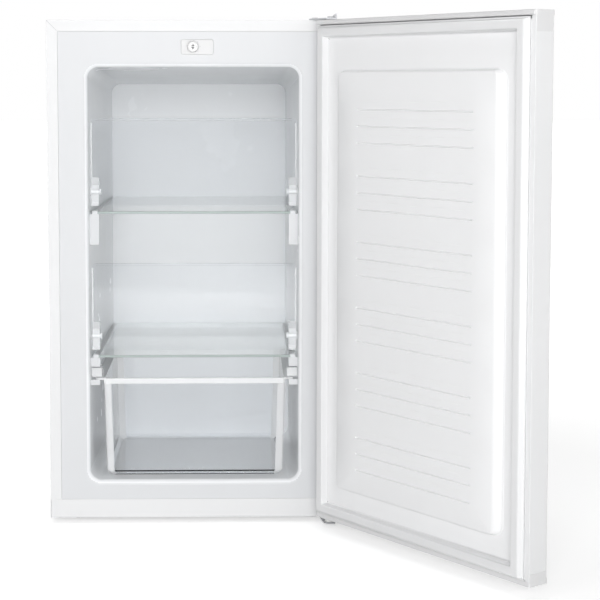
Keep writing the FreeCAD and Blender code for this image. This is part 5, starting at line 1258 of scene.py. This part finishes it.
@dataclass
class Studio:
    """Pale floor, soft light and the camera at the photograph's angle."""

    lens: float = 95.83
    shift: tuple[float, float] = (0.06, -0.15)
    stand: tuple[float, float, float] = (0.0686, -2.6560, 0.7371)
    down: float = 0.0778
    turn: float = 0.0184
    surround: float = 0.17
    lamps: Sequence[Lamp] = (
        Lamp("high_softbox", (-0.3, -3.5, 1.7), (0.0, 0.2, 0.45), 1.1, 24.0, True),
        Lamp("front_softbox", (0.6, -3.65, 0.82), (0.0, 0.2, 0.45), 1.6, 34.0),
        Lamp("low_softbox", (0.0, -3.0, 0.48), (0.0, 0.3, 0.7), 0.9, 15.0),
        Lamp("left_softbox", (-2.4, -2.7, 1.3), (0.2, -0.1, 0.4), 1.8, 20.0),
        Lamp("right_softbox", (2.7, -2.7, 1.0), (0.1, 0.0, 0.45), 1.3, 20.0),
        Lamp("top_softbox", (-0.3, 0.2, 2.9), (0.0, 0.1, 0.0), 1.6, 10.0),
        Lamp("back_softbox", (-0.8, 2.8, 1.6), (0.0, 0.4, 0.4), 1.6, 30.0))

    def build(self) -> None:
        """Make floor, world, lamps and camera."""
        self.floor()
        self.world()
        for lamp in self.lamps:
            lamp.hang()
        self.camera()

    @staticmethod
    def floor() -> None:
        """Wide floor that reads white and still takes the object's shadow."""
        bm = bmesh.new()
        bmesh.ops.create_grid(bm, x_segments=1, y_segments=1, size=30.0)
        mesh = bpy.data.meshes.new("studio_floor")
        bm.to_mesh(mesh)
        bm.free()
        floor = bpy.data.objects.new("studio_floor", mesh)
        bpy.context.scene.collection.objects.link(floor)
        material = bpy.data.materials.new("studio_floor")
        material.use_nodes = True
        tree = material.node_tree
        shader = tree.nodes["Principled BSDF"]
        for label, value in (("Base Color", (0.86, 0.86, 0.86, 1)), ("Roughness", 0.9),
                             ("Specular IOR Level", 0.1)):
            shader.inputs[label].default_value = value
        path = node(tree, "LightPath", {})
        coords = node(tree, "TexCoord", {})
        reach = node(tree, "VectorMath", {0: coords.outputs["Object"]}, operation="LENGTH")
        fade = node(tree, "MapRange", {"Value": reach.outputs["Value"], "From Min": 0.9,
                                       "From Max": 3.0, "To Min": 0.5, "To Max": 1.0})
        lift = node(tree, "Math", {0: path.outputs["Is Camera Ray"], 1: fade.outputs[0]},
                    operation="MULTIPLY")
        glow = node(tree, "Emission", {"Strength": lift.outputs[0]})
        both = node(tree, "AddShader", {0: shader.outputs[0], 1: glow.outputs[0]})
        tree.links.new(both.outputs[0], tree.nodes["Material Output"].inputs["Surface"])
        mesh.materials.append(material)

    def world(self) -> None:
        """White surround: full white where it is seen, lower where it only lights."""
        world = bpy.data.worlds.new("studio_world")
        bpy.context.scene.world = world
        world.use_nodes = True
        tree = world.node_tree
        background = tree.nodes["Background"]
        background.inputs["Color"].default_value = (1, 1, 1, 1)
        path = node(tree, "LightPath", {})
        seen = path.outputs["Is Camera Ray"]
        for label in ("Is Glossy Ray", "Is Transmission Ray"):
            seen = node(tree, "Math", {0: seen, 1: path.outputs[label]},
                        operation="MAXIMUM").outputs[0]
        level = node(tree, "MapRange", {"Value": seen, "To Min": self.surround})
        tree.links.new(level.outputs[0], background.inputs["Strength"])

    def camera(self) -> None:
        """Stand the camera where the photograph was taken from."""
        data = bpy.data.cameras.new("studio_camera")
        data.lens = self.lens
        data.sensor_width = 36.0
        data.shift_x, data.shift_y = self.shift
        camera = bpy.data.objects.new("studio_camera", data)
        camera.location = self.stand
        camera.rotation_euler = Euler((math.pi / 2 - self.down, 0.0, -self.turn))
        bpy.context.scene.collection.objects.link(camera)
        bpy.context.scene.camera = camera
        bpy.context.scene.view_settings.view_transform = "Standard"


def main() -> None:
    """Build the studio, then the freezer from its shell inwards."""
    logging.basicConfig(level=logging.INFO, format="%(name)s %(message)s")
    Studio().build()
    surfaces = Surfaces()
    for part in (Cabinet, Liner, Compartments, Drawer, Thermostat, Door, Hinges, Feet,
                 CoolingUnit):
        log.info("building %s", part.__name__)
        part(surfaces).build()


if __name__ == "__main__":
    main()
